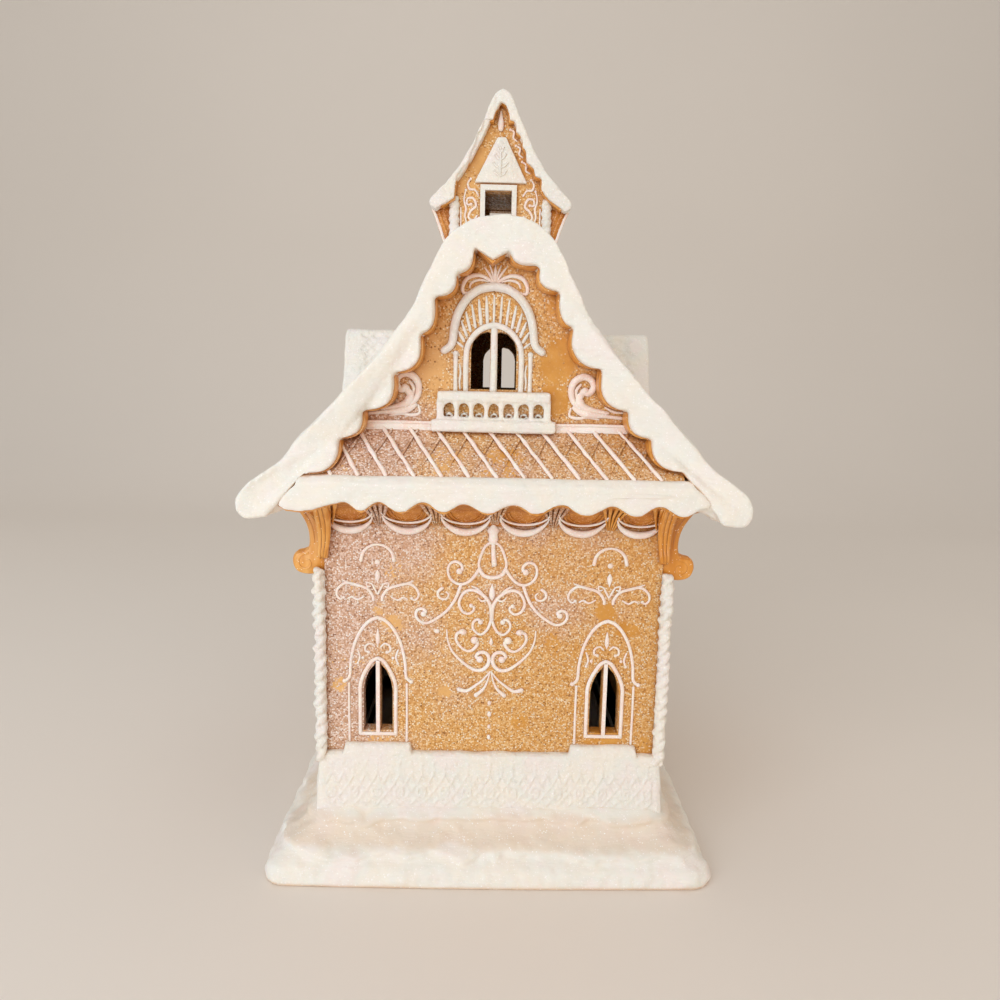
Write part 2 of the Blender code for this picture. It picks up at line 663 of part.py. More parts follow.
def main():
    clear_scene()
    set_materials()
    body = build_body()
    added = new_group("added")
    for build in (build_base, build_cornice, build_lattice, build_swags, build_verges, build_side_gables,
                  build_tower, build_corners, build_lancets, build_gable_fronts, build_wall_piping):
        build(added)
    apply_boolean(body, added, "UNION")
    cut = new_group("cut")
    build_voids(cut)
    apply_boolean(body, cut, "DIFFERENCE")
    clean(body)


main()
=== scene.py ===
# Dresses the gingerbread house: soft snow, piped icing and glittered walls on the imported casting.
# Shapes are drawn in millimetres of the real house, front gable facing -Y, and scaled to metres when a
# piece is finished. Outlines are pairs of X and Z on the front. Whatever is hidden repeats what shows.
import json
import random
from math import pi, sin, cos, hypot, radians, exp

import bpy
import bmesh
from mathutils import Matrix, Vector, noise

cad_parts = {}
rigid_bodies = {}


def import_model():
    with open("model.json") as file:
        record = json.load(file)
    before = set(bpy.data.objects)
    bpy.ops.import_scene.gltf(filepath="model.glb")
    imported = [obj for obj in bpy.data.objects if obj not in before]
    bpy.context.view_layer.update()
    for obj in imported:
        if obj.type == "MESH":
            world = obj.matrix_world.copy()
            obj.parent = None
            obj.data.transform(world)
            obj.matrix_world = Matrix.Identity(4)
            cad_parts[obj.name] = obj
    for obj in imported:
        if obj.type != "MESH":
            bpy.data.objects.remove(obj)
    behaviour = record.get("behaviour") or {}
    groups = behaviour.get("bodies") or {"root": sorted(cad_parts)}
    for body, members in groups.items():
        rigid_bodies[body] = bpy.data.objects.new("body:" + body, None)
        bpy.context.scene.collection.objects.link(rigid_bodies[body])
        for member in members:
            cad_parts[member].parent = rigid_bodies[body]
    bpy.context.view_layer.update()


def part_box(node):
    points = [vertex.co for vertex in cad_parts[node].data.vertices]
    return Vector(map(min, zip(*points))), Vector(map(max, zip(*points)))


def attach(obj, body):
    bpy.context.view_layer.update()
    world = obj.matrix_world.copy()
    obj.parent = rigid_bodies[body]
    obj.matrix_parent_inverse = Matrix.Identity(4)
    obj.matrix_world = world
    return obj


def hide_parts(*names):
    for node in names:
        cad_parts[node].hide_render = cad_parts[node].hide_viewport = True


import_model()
LOW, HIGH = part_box("house")
HOUSE_HEIGHT = 418.0
MM = (HIGH.z - LOW.z) / HOUSE_HEIGHT
OUT = Vector((0.0, -1.0, 0.0))
random.seed(12)

# Walls, room and windows
WALL = 88.5
INSIDE = 81.0
ROOM_FLOOR = 12.0
LANCET_AT = 60.9
LANCET_PANE = ((1.1, 72.5), (7.8, 72.5), (7.8, 96.0), (6.9, 101.0), (4.6, 106.3), (1.1, 110.5))
GABLE_PANE = (
    (1.8, 256.0), (11.5, 256.0), (11.5, 275.5), (10.4, 280.0), (6.8, 283.6), (3.2, 284.6), (1.8, 284.0),
)
SIDE_PANE = ((0.7, 251.0), (5.5, 251.0), (5.5, 261.5), (4.2, 266.0), (0.7, 269.0))
TOWER_PANE = ((-7.5, 352.0), (7.5, 352.0), (7.5, 365.7), (-7.5, 365.7))

# Roofs: half outlines of the snow, from the ridge down to the tip
VERGE_HALF = (
    (0.0, 337.8), (14.0, 335.0), (25.4, 326.8), (36.0, 307.2), (45.5, 289.0), (74.2, 254.0), (91.5, 237.2),
    (103.0, 222.0), (112.0, 214.6), (120.8, 207.6), (124.4, 200.0), (120.6, 193.2), (110.0, 194.0),
)
VERGE_TIP = (-3.9, 316.6)
LEFT_CUSPS = (
    (13.2, 322.6), (21.6, 310.6), (31.4, 299.6), (38.4, 282.0), (51.2, 263.2), (66.2, 244.6), (77.4, 231.2),
    (91.8, 214.6),
)
RIGHT_CUSPS = (
    (5.5, 321.8), (18.8, 314.4), (28.9, 303.1), (36.2, 286.8), (50.6, 267.2), (64.6, 247.3), (76.0, 233.8),
    (90.2, 219.0),
)
SIDE_HALF = (
    (0.0, 290.3), (6.0, 288.8), (10.5, 282.0), (15.5, 267.0), (21.5, 252.5), (29.0, 242.5), (36.0, 236.5),
    (37.5, 231.0), (33.0, 227.0),
)
SIDE_CUSPS = ((4.5, 279.0), (8.5, 268.0), (13.0, 256.0), (20.0, 245.0), (27.0, 237.0))
TOWER_HALF_LINE = (
    (0.0, 417.5), (4.0, 415.3), (7.2, 408.5), (12.0, 398.0), (18.0, 386.0), (25.8, 373.8), (32.6, 366.4),
    (38.3, 360.8), (39.3, 356.8), (36.0, 354.2),
)
TOWER_INNER = (
    (-33.0, 356.6), (-26.0, 360.2), (-25.6, 366.0), (-24.8, 371.4), (-21.8, 375.8), (-18.2, 379.8),
    (-16.8, 384.8), (-14.8, 388.0), (-13.8, 393.8), (-11.4, 396.6), (-9.8, 401.6), (-4.8, 401.4),
    (-4.0, 405.4), (-1.0, 411.2), (2.2, 409.4), (3.5, 405.0), (3.8, 401.2), (7.6, 401.4), (7.9, 395.6),
    (11.2, 393.3), (11.4, 388.0), (13.6, 385.6), (14.2, 379.8), (18.0, 376.9), (18.9, 372.6),
    (22.3, 371.8), (22.6, 365.6), (27.0, 360.6), (34.0, 355.8),
)
TOWER = 27.5
TOWER_POST = 25.6
VERGE_FRONT = 105.0
GABLE_SHIFT = -2.4
TOWER_SHIFT = -1.3
EAVE_NOTCHES = (-73.0, -56.5, -35.2, -15.5, 7.9, 31.6, 55.7, 79.2, 101.0)
EAVE_CUSP = 202.0
EAVE_HANG = 5.0

# Cove under the eaves, half width and height, and the skirt roof in front of the gables, reach and height
COVE = (
    (80.0, 185.4), (88.7, 185.8), (90.8, 188.2), (94.0, 191.5), (100.5, 196.5), (109.0, 200.0),
    (114.0, 203.0), (114.0, 206.0), (80.0, 209.0),
)
SKIRT = (
    (80.0, 204.0), (113.6, 204.0), (114.0, 211.6), (110.8, 216.2), (99.4, 226.2), (89.2, 236.6),
    (80.0, 237.0),
)
SKIRT_HALF = 92.0
SWAG_PLACES = [-75.0 + 30.0 * k for k in range(6)]

# Snow base
MOUND = ((117.6, 0.0), (118.4, 3.0), (116.4, 9.0), (107.0, 16.5), (99.5, 24.0), (93.5, 31.5), (88.0, 34.0))
MOUND_CORNER = 12.0
PLINTH = ((94.8, 24.0), (92.6, 58.4), (92.2, 60.0), (90.4, 61.0), (86.0, 61.2))
PLINTH_STEP = 0.8
PLINTH_POINTS = 330
SILL_HALF = 17.9
SILL_RISE = 4.6

# The photograph's view, in metres and degrees
CAMERA_PLACE = (-0.0042, -0.471, 0.2596)
CAMERA_PAN = -0.97
CAMERA_DOWN = 8.9
CAMERA_ROLL = 1.25
CAMERA_LENS = 27.0

# The four corners of the house, as signs of X and Y
CORNERS = ((-1, -1), (-1, 1), (1, -1), (1, 1))


# Finishes
def srgb(r, g, b):
    """A colour picked on screen, from 0 to 255, as linear light."""
    linear = [(c / 255.0 / 12.92) if c < 11 else ((c / 255.0 + 0.055) / 1.055) ** 2.4 for c in (r, g, b)]
    return (*linear, 1.0)


class Finish:
    """A procedural material while it is put together."""

    def __init__(self, name, roughness, specular=0.5):
        self.material = bpy.data.materials.new(name)
        self.material.use_nodes = True
        self.tree = self.material.node_tree
        self.shader = self.tree.nodes["Principled BSDF"]
        self.shader.inputs["Roughness"].default_value = roughness
        self.shader.inputs["Specular IOR Level"].default_value = specular
        place = self.add("ShaderNodeTexCoord").outputs["Object"]
        self.place = self.add("ShaderNodeVectorMath", operation="SCALE", Vector=place, Scale=1.0 / MM)
        self.place = self.place.outputs["Vector"]

    def add(self, kind, **values):
        """Add a node. Names in small letters are its settings, the rest are its inputs."""
        node = self.tree.nodes.new(kind)
        for key, value in values.items():
            if key[0].islower():
                setattr(node, key, value)
        for key, value in values.items():
            if not key[0].islower():
                self.plug(node.inputs[key.replace("_", " ")], value)
        return node

    def plug(self, socket, value):
        """Link a socket, or set its value."""
        if isinstance(value, bpy.types.NodeSocket):
            self.tree.links.new(value, socket)
        else:
            socket.default_value = value

    def sum(self, a, b, operation="ADD"):
        """One number from two."""
        node = self.add("ShaderNodeMath", operation=operation)
        self.plug(node.inputs[0], a)
        self.plug(node.inputs[1], b)
        return node.outputs[0]

    def fade(self, value, low, high, start=0.0, end=1.0):
        """Map a number smoothly from one range to another."""
        node = self.add("ShaderNodeMapRange", interpolation_type="SMOOTHSTEP", Value=value)
        for socket, number in zip(node.inputs[1:5], (low, high, start, end)):
            socket.default_value = number
        return node.outputs["Result"]

    def grain(self, size, stretch=(1.0, 1.0, 1.0), detail=2.0, rough=0.5):
        """Soft noise with features about size millimetres across."""
        spot = self.add("ShaderNodeMapping", Vector=self.place)
        spot.inputs["Scale"].default_value = [1.0 / s for s in stretch]
        node = self.add("ShaderNodeTexNoise", Vector=spot.outputs["Vector"], Scale=1.0 / size,
                        Detail=detail, Roughness=rough)
        return node.outputs["Fac"]

    def cells(self, size):
        """Grains of about size millimetres: their distance and their random colour."""
        node = self.add("ShaderNodeTexVoronoi", Vector=self.place, Scale=1.0 / size)
        return node.outputs["Distance"], node.outputs["Color"]

    def ramp(self, value, *stops):
        """Colours at places from 0 to 1."""
        node = self.add("ShaderNodeValToRGB", Fac=value)
        band = node.color_ramp
        while len(band.elements) < len(stops):
            band.elements.new(1.0)
        for element, (at, colour) in zip(band.elements, stops):
            element.position = at
            element.color = colour
        return node.outputs["Color"]

    def mix(self, factor, a, b):
        """Blend two colours."""
        node = self.add("ShaderNodeMix", data_type="RGBA")
        self.plug(node.inputs[0], factor)
        self.plug(node.inputs[6], a)
        self.plug(node.inputs[7], b)
        return node.outputs[2]

    def crevice_shade(self, reach):
        """How open a spot is, for painted shade: 0 in deep corners and 1 in the open."""
        node = self.add("ShaderNodeAmbientOcclusion", Distance=reach * MM, samples=8, only_local=False)
        return node.outputs["AO"]

    def bump(self, height, strength, depth, under=None):
        """A fine relief of some depth in millimetres."""
        node = self.add("ShaderNodeBump", Height=height, Strength=strength, Distance=depth * MM)
        if under is not None:
            self.plug(node.inputs["Normal"], under)
        return node.outputs["Normal"]

    def end(self, colour, normal, roughness=None):
        """Connect the colour, the relief and maybe the roughness."""
        self.plug(self.shader.inputs["Base Color"], colour)
        self.plug(self.shader.inputs["Normal"], normal)
        if roughness is not None:
            self.plug(self.shader.inputs["Roughness"], roughness)
        return self.material


# Spots where the glitter is rubbed off: X, Z, radius and how bare
BARE_SPOTS = (
    (30.0, 268.0, 12.0, 1.0), (29.0, 252.0, 10.0, 0.9), (29.0, 297.0, 7.0, 0.7), (-32.0, 284.0, 9.0, 0.8),
    (-36.0, 268.0, 10.0, 0.9), (-28.0, 301.0, 7.0, 0.7), (-24.9, 94.7, 4.0, 0.9), (-81.7, 98.4, 4.0, 0.8),
    (32.1, 124.0, 8.0, 0.6),
    (15.6, 78.3, 5.0, 0.5), (60.0, 140.0, 7.0, 0.9), (71.5, 131.0, 6.0, 0.9), (-53.0, 132.0, 6.5, 0.9),
    (-61.0, 139.5, 4.0, 0.8), (46.0, 118.0, 5.5, 0.7), (61.0, 66.0, 13.0, 0.8), (-61.0, 68.0, 10.0, 0.4),
    (61.0, 92.0, 12.0, 0.5), (-16.0, 383.0, 11.0, 1.0), (-10.0, 398.0, 8.0, 0.9), (2.0, 218.0, 13.0, 0.6),
    (-22.0, 371.0, 10.0, 1.0), (15.0, 380.0, 8.0, 0.6), (34.0, 276.0, 10.0, 1.0), (-30.0, 258.0, 8.0, 0.7),
    (-26.0, 222.0, 9.0, 0.5), (-85.0, 214.0, 8.0, 0.8), (83.0, 64.0, 7.0, 0.6), (19.0, 150.0, 9.0, 0.4),
)


def rubbed_spots(f):
    """Where the glitter is thin: 1 in the middle of a bare spot, 0 outside them all."""
    flat = f.add("ShaderNodeVectorMath", operation="MULTIPLY", Vector=f.place)
    flat.inputs[1].default_value = (1.0, 0.0, 1.0)
    wobble = f.sum(f.grain(7.0, detail=3.0), 9.0, "MULTIPLY")
    total = 0.0
    for x, z, radius, share in BARE_SPOTS:
        gap = f.add("ShaderNodeVectorMath", operation="DISTANCE", Vector=flat.outputs["Vector"])
        gap.inputs[1].default_value = (x, 0.0, z)
        reach = f.sum(gap.outputs["Value"], wobble)
        total = f.sum(total, f.fade(reach, radius * 0.5 + 4.5, radius * 1.2 + 4.5, share, 0.0), "MAXIMUM")
    return total


def glittered_gingerbread():
    """Amber gingerbread under fine rose, gold and white glitter, rubbed off in places."""
    f = Finish("glittered_gingerbread", 0.45)
    distance, random_colour = f.cells(0.86)
    chance = f.add("ShaderNodeSeparateColor", Color=random_colour)
    rose = f.ramp(chance.outputs["Red"], (0.0, srgb(140, 92, 64)), (0.16, srgb(196, 152, 126)),
                  (0.42, srgb(226, 194, 174)), (0.78, srgb(246, 224, 212)), (0.95, srgb(255, 250, 246)))
    gold = f.ramp(chance.outputs["Red"], (0.0, srgb(146, 90, 30)), (0.16, srgb(208, 148, 70)),
                  (0.42, srgb(234, 186, 118)), (0.78, srgb(249, 214, 160)), (0.95, srgb(255, 244, 220)))
    across = f.add("ShaderNodeSeparateXYZ", Vector=f.place)
    drift = f.sum(f.grain(40.0, detail=3.5, rough=0.6), 2.4, "MULTIPLY")
    rise = f.fade(across.outputs["Z"], 80.0, 180.0, 0.30, -0.22)
    crown = f.fade(across.outputs["Z"], 232.0, 258.0, 0.0, 0.55)
    left = f.sum(f.fade(across.outputs["X"], -84.0, -18.0, -0.90, 0.10), f.sum(rise, crown))
    sides = f.sum(left, f.fade(across.outputs["X"], 40.0, 84.0, 0.0, 0.30))
    shade = f.fade(f.sum(sides, drift), 1.55, 0.45)
    glitter = f.mix(shade, gold, rose)
    ground = f.mix(shade, srgb(213, 153, 76), srgb(203, 158, 126))
    dots = f.fade(distance, 0.70, 0.44)
    glitter = f.mix(dots, ground, glitter)
    bare = f.ramp(f.grain(9.0, detail=4.0), (0.3, srgb(208, 142, 50)), (0.7, srgb(226, 166, 78)))
    bare = f.mix(f.fade(across.outputs["X"], -40.0, 20.0, 0.5, 0.0), bare, srgb(246, 204, 146))
    rubbed = rubbed_spots(f)
    cover = f.sum(f.grain(17.0, detail=3.5, rough=0.6), f.sum(rubbed, 0.5, "MULTIPLY"), "SUBTRACT")
    dither = f.sum(chance.outputs["Green"], 0.34, "MULTIPLY")
    strewn = f.fade(chance.outputs["Blue"], 0.66, 0.70, 0.0, 0.8)
    strewn = f.sum(strewn, f.sum(rubbed, 0.7, "MULTIPLY"), "SUBTRACT")
    covered = f.sum(f.fade(f.sum(cover, dither, "SUBTRACT"), 0.02, 0.10), strewn, "MAXIMUM")
    colour = f.mix(covered, bare, glitter)
    colour = f.mix(f.fade(across.outputs["X"], -40.0, 84.0, 0.03, 0.15), colour, srgb(168, 98, 30))
    # Painted shade: a darker amber mixed into corners and creases, where shade falls.
    depth = f.fade(f.crevice_shade(2.4), 0.25, 0.90)
    colour = f.mix(depth, f.mix(0.7, colour, srgb(150, 84, 22)), colour)
    tilt = f.add("ShaderNodeVectorMath", operation="SUBTRACT", Vector=random_colour)
    tilt.inputs[1].default_value = (0.5, 0.5, 0.5)
    lean_size = f.sum(covered, 0.7, "MULTIPLY")
    turned = f.add("ShaderNodeVectorMath", operation="SCALE", Vector=tilt.outputs[0], Scale=lean_size)
    crumb = f.bump(f.grain(1.8, detail=3.0), 0.35, 0.3)
    domes = f.bump(f.sum(f.sum(1.0, distance, "SUBTRACT"), covered, "MULTIPLY"), 0.5, 0.25, crumb)
    facing = f.add("ShaderNodeVectorMath", operation="ADD", Vector=domes)
    f.plug(facing.inputs[1], turned.outputs["Vector"])
    normal = f.add("ShaderNodeVectorMath", operation="NORMALIZE", Vector=facing.outputs[0])
    shine = f.fade(f.sum(chance.outputs["Blue"], covered, "MULTIPLY"), 0.55, 0.95, 0.46, 0.20)
    return f.end(colour, normal.outputs[0], shine)


def caramel():
    """Bare amber brackets: glossy, streaked down, with painted shade darkening the grooves."""
    f = Finish("caramel", 0.34)
    f.shader.inputs["Coat Weight"].default_value = 0.3
    f.shader.inputs["Coat Roughness"].default_value = 0.28
    streak = f.grain(4.0, stretch=(1.0, 1.0, 6.0), detail=4.0)
    colour = f.ramp(streak, (0.28, srgb(212, 136, 40)), (0.5, srgb(230, 162, 72)),
                    (0.72, srgb(242, 186, 108)))
    # Painted shade: a darker amber mixed into the grooves and corners.
    depth = f.fade(f.crevice_shade(3.2), 0.25, 0.85)
    across = f.add("ShaderNodeSeparateXYZ", Vector=f.place).outputs["X"]
    colour = f.mix(f.fade(across, 60.0, 96.0, 0.0, 0.5), colour, srgb(218, 138, 30))
    colour = f.mix(depth, f.mix(0.75, colour, srgb(150, 78, 8)), colour)
    distance, random_colour = f.cells(0.7)
    chance = f.add("ShaderNodeSeparateColor", Color=random_colour)
    fleck = f.fade(f.sum(chance.outputs["Red"], f.sum(f.grain(9.0), 0.12, "MULTIPLY")), 1.005, 1.02)
    fleck = f.sum(fleck, f.fade(distance, 0.5, 0.3), "MULTIPLY")
    colour = f.mix(fleck, colour, srgb(255, 232, 200))
    return f.end(colour, f.bump(streak, 0.4, 0.5))


def dark_caramel():
    """The amber shells in the cove: darker, with a thin strewing of glitter."""
    f = Finish("dark_caramel", 0.4)
    toast = f.grain(5.0, detail=4.0)
    colour = f.ramp(toast, (0.3, srgb(186, 108, 28)), (0.7, srgb(214, 142, 54)))
    # Painted shade: a darker amber mixed into hollows and corners.
    depth = f.fade(f.crevice_shade(5.0), 0.20, 0.90)
    colour = f.mix(depth, f.mix(0.7, colour, srgb(140, 70, 14)), colour)
    distance, random_colour = f.cells(0.6)
    chance = f.add("ShaderNodeSeparateColor", Color=random_colour)
    speck = f.sum(f.fade(chance.outputs["Red"], 0.72, 0.80), f.fade(distance, 0.55, 0.3), "MULTIPLY")
    colour = f.mix(f.sum(speck, 0.75, "MULTIPLY"), colour, srgb(248, 208, 164))
    return f.end(colour, f.bump(toast, 0.5, 0.5))


def snow_icing(name, size=1.0, tan=0.0):
    """Warm white snow with brushed strokes, faint rainbow glitter, warm painted shade in the hollows and
    maybe a warm band of painted shade between the mound's lips.
    """
    f = Finish(name, 0.62, 0.35)
    f.shader.inputs["Subsurface Weight"].default_value = 0.12
    f.shader.inputs["Subsurface Scale"].default_value = 2.0 * MM
    f.shader.inputs["Subsurface Radius"].default_value = (1.0, 0.7, 0.5)
    tint = f.ramp(f.grain(26.0, detail=2.5), (0.34, srgb(241, 234, 229)), (0.45, srgb(237, 236, 229)),
                  (0.54, srgb(241, 236, 226)), (0.66, srgb(241, 235, 230)))
    # Painted shade: a warm darker tint mixed into hollows and creases.
    depth = f.fade(f.crevice_shade(4.0 * size), 0.20, 0.80)
    colour = f.mix(depth, f.mix(0.6, tint, srgb(228, 186, 142)), tint)
    # Painted shade: a warm band on the mound between its two lips, about 12 to 24 mm high.
    if tan:
        high = f.add("ShaderNodeSeparateXYZ", Vector=f.place).outputs["Z"]
        high = f.sum(high, f.sum(f.grain(26.0, detail=3.0), 9.0, "MULTIPLY"), "SUBTRACT")
        shade_band = f.sum(f.fade(high, 11.0, 14.0), f.fade(high, 26.0, 22.0), "MULTIPLY")
        colour = f.mix(f.sum(shade_band, tan, "MULTIPLY"), colour, srgb(224, 196, 166))
    _, random_colour = f.cells(0.5)
    chance = f.add("ShaderNodeSeparateColor", Color=random_colour)
    glint = f.fade(chance.outputs["Red"], 0.972, 0.98)
    colour = f.mix(glint, colour, srgb(255, 252, 250))
    brushed = f.grain(0.9, stretch=(10.0, 6.0, 1.0), detail=3.0)
    lumps = f.bump(f.grain(4.5 * size, detail=4.0), 0.8, 1.1)
    normal = f.bump(brushed, 0.7, 0.4, lumps)
    return f.end(colour, normal, f.fade(glint, 0.0, 1.0, 0.62, 0.15))


def piped_icing():
    """Thin piping: pinkish white, glittered, with shaded edges."""
    f = Finish("piped_icing", 0.5, 0.4)
    f.shader.inputs["Subsurface Weight"].default_value = 0.1
    f.shader.inputs["Subsurface Scale"].default_value = 1.0 * MM
    tint = f.ramp(f.grain(14.0, detail=3.0), (0.35, srgb(252, 240, 230)), (0.5, srgb(248, 228, 218)),
                  (0.65, srgb(250, 242, 236)))
    # Painted shade: a light brown mixed in where the piping meets the wall and in its creases.
    depth = f.fade(f.crevice_shade(1.4), 0.25, 0.80)
    colour = f.mix(depth, f.mix(0.55, tint, srgb(204, 148, 106)), tint)
    distance, random_colour = f.cells(0.6)
    chance = f.add("ShaderNodeSeparateColor", Color=random_colour)
    colour = f.mix(f.fade(chance.outputs["Red"], 0.86, 0.90), colour, srgb(255, 248, 244))
    normal = f.bump(f.sum(1.0, distance, "SUBTRACT"), 0.35, 0.25)
    return f.end(colour, normal)


def plain_stage():
    """The pale floor and backdrop."""
    f = Finish("pale_stage", 0.85, 0.2)
    colour = f.ramp(f.grain(900.0), (0.3, srgb(232, 226, 219)), (0.7, srgb(236, 230, 223)))
    return f.end(colour, f.bump(f.grain(3.0), 0.05, 0.1))


# Making shapes
def held(value):
    """A number kept between 0 and 1."""
    return min(max(value, 0.0), 1.0)


def ridge(gap, wide):
    """A soft ridge that is one high where the gap is nought."""
    return exp(-(gap / wide) ** 2)


def verts_of(geometry):
    """The points in what an operator gives back."""
    return [item for item in geometry if isinstance(item, bmesh.types.BMVert)]


def joined(parts):
    """Put several shapes in one, and free them."""
    whole = bmesh.new()
    for part in parts:
        mesh = bpy.data.meshes.new("part")
        part.to_mesh(mesh)
        part.free()
        whole.from_mesh(mesh)
        bpy.data.meshes.remove(mesh)
    return whole


def copy_turned(part, turn):
    """A copy of a shape, turned about Z."""
    twin = part.copy()
    bmesh.ops.rotate(twin, verts=twin.verts, matrix=Matrix.Rotation(turn, 3, "Z"))
    return twin


def round_the_house(make, turns=(0, 1, 2, 3)):
    """Make one side's shapes and repeat them on the other sides."""
    side = joined(make())
    copies = [copy_turned(side, turn * pi / 2) for turn in turns]
    side.free()
    return joined(copies)


def round_parts(parts):
    """The same parts on all four sides."""
    return [copy_turned(part, turn * pi / 2) for turn in range(4) for part in parts]


def slab(outline, back, front):
    """Extrude an outline in X and Z from y = -back to y = -front."""
    bm = bmesh.new()
    face = bm.faces.new([bm.verts.new((x, -back, z)) for x, z in outline])
    grown = bmesh.ops.extrude_face_region(bm, geom=[face])["geom"]
    bmesh.ops.translate(bm, verts=verts_of(grown), vec=(0.0, back - front, 0.0))
    bmesh.ops.recalc_face_normals(bm, faces=bm.faces)
    return bm


def block(low, high):
    """A box between two corners."""
    bm = bmesh.new()
    bmesh.ops.create_cube(bm, size=1.0)
    bmesh.ops.scale(bm, verts=bm.verts, vec=Vector(high) - Vector(low))
    bmesh.ops.translate(bm, verts=bm.verts, vec=(Vector(high) + Vector(low)) / 2)
    return bm


def rounded(bm, width, segments=2, edges=None):
    """Round the edges of a shape, or only the edges that are given."""
    bmesh.ops.bevel(bm, geom=edges or bm.edges, offset=width, segments=segments, profile=0.5, affect="EDGES",
                    material=-1, clamp_overlap=True)
    return bm


def blob(centre, radius, stretch=(1.0, 1.0, 1.0), fine=2):
    """A round lump."""
    bm = bmesh.new()
    bmesh.ops.create_icosphere(bm, subdivisions=fine, radius=radius)
    bmesh.ops.scale(bm, verts=bm.verts, vec=stretch)
    bmesh.ops.translate(bm, verts=bm.verts, vec=centre)
    return bm


def bead(points, widths, out=OUT, flat=0.8, sides=8):
    """A round bead of icing along points; it is squeezed by flat in the direction it stands out."""
    points = [Vector(point) for point in points]
    last = len(points) - 1
    runs = [(points[min(i + 1, last)] - points[max(i - 1, 0)]).normalized() for i in range(last + 1)]
    stations = [(point, run, width / 2) for point, run, width in zip(points, runs, widths)]
    first, final = stations[0], stations[-1]
    for share, shrink in ((0.55, 0.80), (0.92, 0.35)):
        stations.insert(0, (first[0] - first[1] * first[2] * share, first[1], first[2] * shrink))
        stations.append((final[0] + final[1] * final[2] * share, final[1], final[2] * shrink))
    frames = []
    for point, run, radius in stations:
        side = run.cross(out).normalized()
        lift = side.cross(run) * radius * flat
        place = Matrix((side * radius, lift, run)).transposed().to_4x4()
        place.translation = point
        frames.append(place)
    bm = bmesh.new()
    bmesh.ops.create_circle(bm, cap_ends=False, segments=sides, radius=1.0, matrix=frames[0])
    edges = list(bm.edges)
    for before, after in zip(frames, frames[1:]):
        grown = bmesh.ops.extrude_edge_only(bm, edges=edges)["geom"]
        verts = verts_of(grown)
        fresh = set(verts)
        fresh_edges = [item for item in grown if isinstance(item, bmesh.types.BMEdge)]
        edges = [edge for edge in fresh_edges if fresh.issuperset(edge.verts)]
        bmesh.ops.transform(bm, matrix=after @ before.inverted(), verts=verts)
    bmesh.ops.holes_fill(bm, edges=[edge for edge in bm.edges if edge.is_boundary])
    bmesh.ops.recalc_face_normals(bm, faces=bm.faces)
    return bm


def between(a, b, c, d, t):
    """The value at a share t of the way from b to c on a smooth curve through four values."""
    square = (2 * a - 5 * b + 4 * c - d) * t * t
    cube = (3 * b - a - 3 * c + d) * t ** 3
    return 0.5 * (2 * b + (c - a) * t + square + cube)


def smooth_line(points, steps=4, closed=False):
    """A smooth curve through points of any number of values."""
    count = len(points)
    spans = count if closed else count - 1

    def at(i):
        return points[i % count] if closed else points[min(max(i, 0), count - 1)]

    found = []
    for i in range(spans):
        four = (at(i - 1), at(i), at(i + 1), at(i + 2))
        for s in range(steps):
            found.append(tuple(between(*values, s / steps) for values in zip(*four)))
    if not closed:
        found.append(tuple(points[-1]))
    return found


def stroke(points, widths=(1.5, 1.5, 1.5), ball=0.0, at=(0.0, 0.0), side=1, face=WALL, steps=4, lift=0.15):
    """Pipe a line of icing on the front wall; widths are at its start, middle and end."""
    cx, cz = at
    line = smooth_line([(cx + side * x, cz + z) for x, z in points], steps)
    last = len(line) - 1
    start, middle, end = widths
    found = []
    sizes = []
    for i, (x, z) in enumerate(line):
        t = 2 * i / last
        size = start + (middle - start) * t if t < 1.0 else middle + (end - middle) * (t - 1.0)
        sizes.append(size)
        found.append((x, -face - size * lift, z))
    parts = [bead(found, sizes)]
    if ball:
        x, z = line[-1]
        parts.append(blob((x, -face - ball * 0.25, z), ball, (1.0, 0.75, 1.0)))
    return joined(parts)


def both_sides(*strokes, **shared):
    """The same strokes, to the right and mirrored to the left."""
    return [stroke(*each, side=side, **shared) for each in strokes for side in (1, -1)]


def mirrored(half):
    """Close a half outline that starts on the middle line into a whole one."""
    return [(-x, z) for x, z in reversed(half) if x > 0.0] + list(half)


def sunk(half, depth):
    """The same half outline, moved inwards by a depth."""
    found = []
    last = len(half) - 1
    for i, (x, z) in enumerate(half):
        ax, az = half[max(i - 1, 0)]
        bx, bz = half[min(i + 1, last)]
        length = hypot(bx - ax, bz - az)
        found.append((0.0 if i == 0 else x + depth * (bz - az) / length, z - depth * (bx - ax) / length))
    return found


def lobes(cusps, steps=8):
    """The inner edge of a verge, on the right side: each lobe drops from a cusp and runs out to the next."""
    line = []
    for i, ((x0, z0), (x1, z1)) in enumerate(zip(cusps, cusps[1:])):
        dx, dz = x1 - x0, z1 - z0
        belly = 0.04 + 0.12 * (i * 0.618 % 1.0)
        for s in range(steps):
            t = s / steps
            near, far = 3 * (1 - t) ** 2 * t, 3 * (1 - t) * t * t
            line.append((x0 + dx * (t ** 3 - belly * near - 0.10 * far),
                         z0 + dz * (t ** 3 + 0.42 * near + 1.0 * far)))
    line.append(cusps[-1])
    return line


def scalloped(half, left, right, tip):
    """Outline of a snow verge: smooth outer edge and hanging lobes along the inner edge."""
    inner_right = lobes(right)
    inner_left = [(-x, z) for x, z in lobes(left)]
    outline = mirrored(smooth_line(half, 5)) + list(reversed(inner_right))
    return outline + [tip] + inner_left


def band(half, thick, back, front):
    """A roof layer of even thickness under a half outline."""
    outer = smooth_line(half, 4)
    under = sunk(outer, thick)
    return slab(mirrored(outer) + list(reversed(mirrored(under))), back, front)


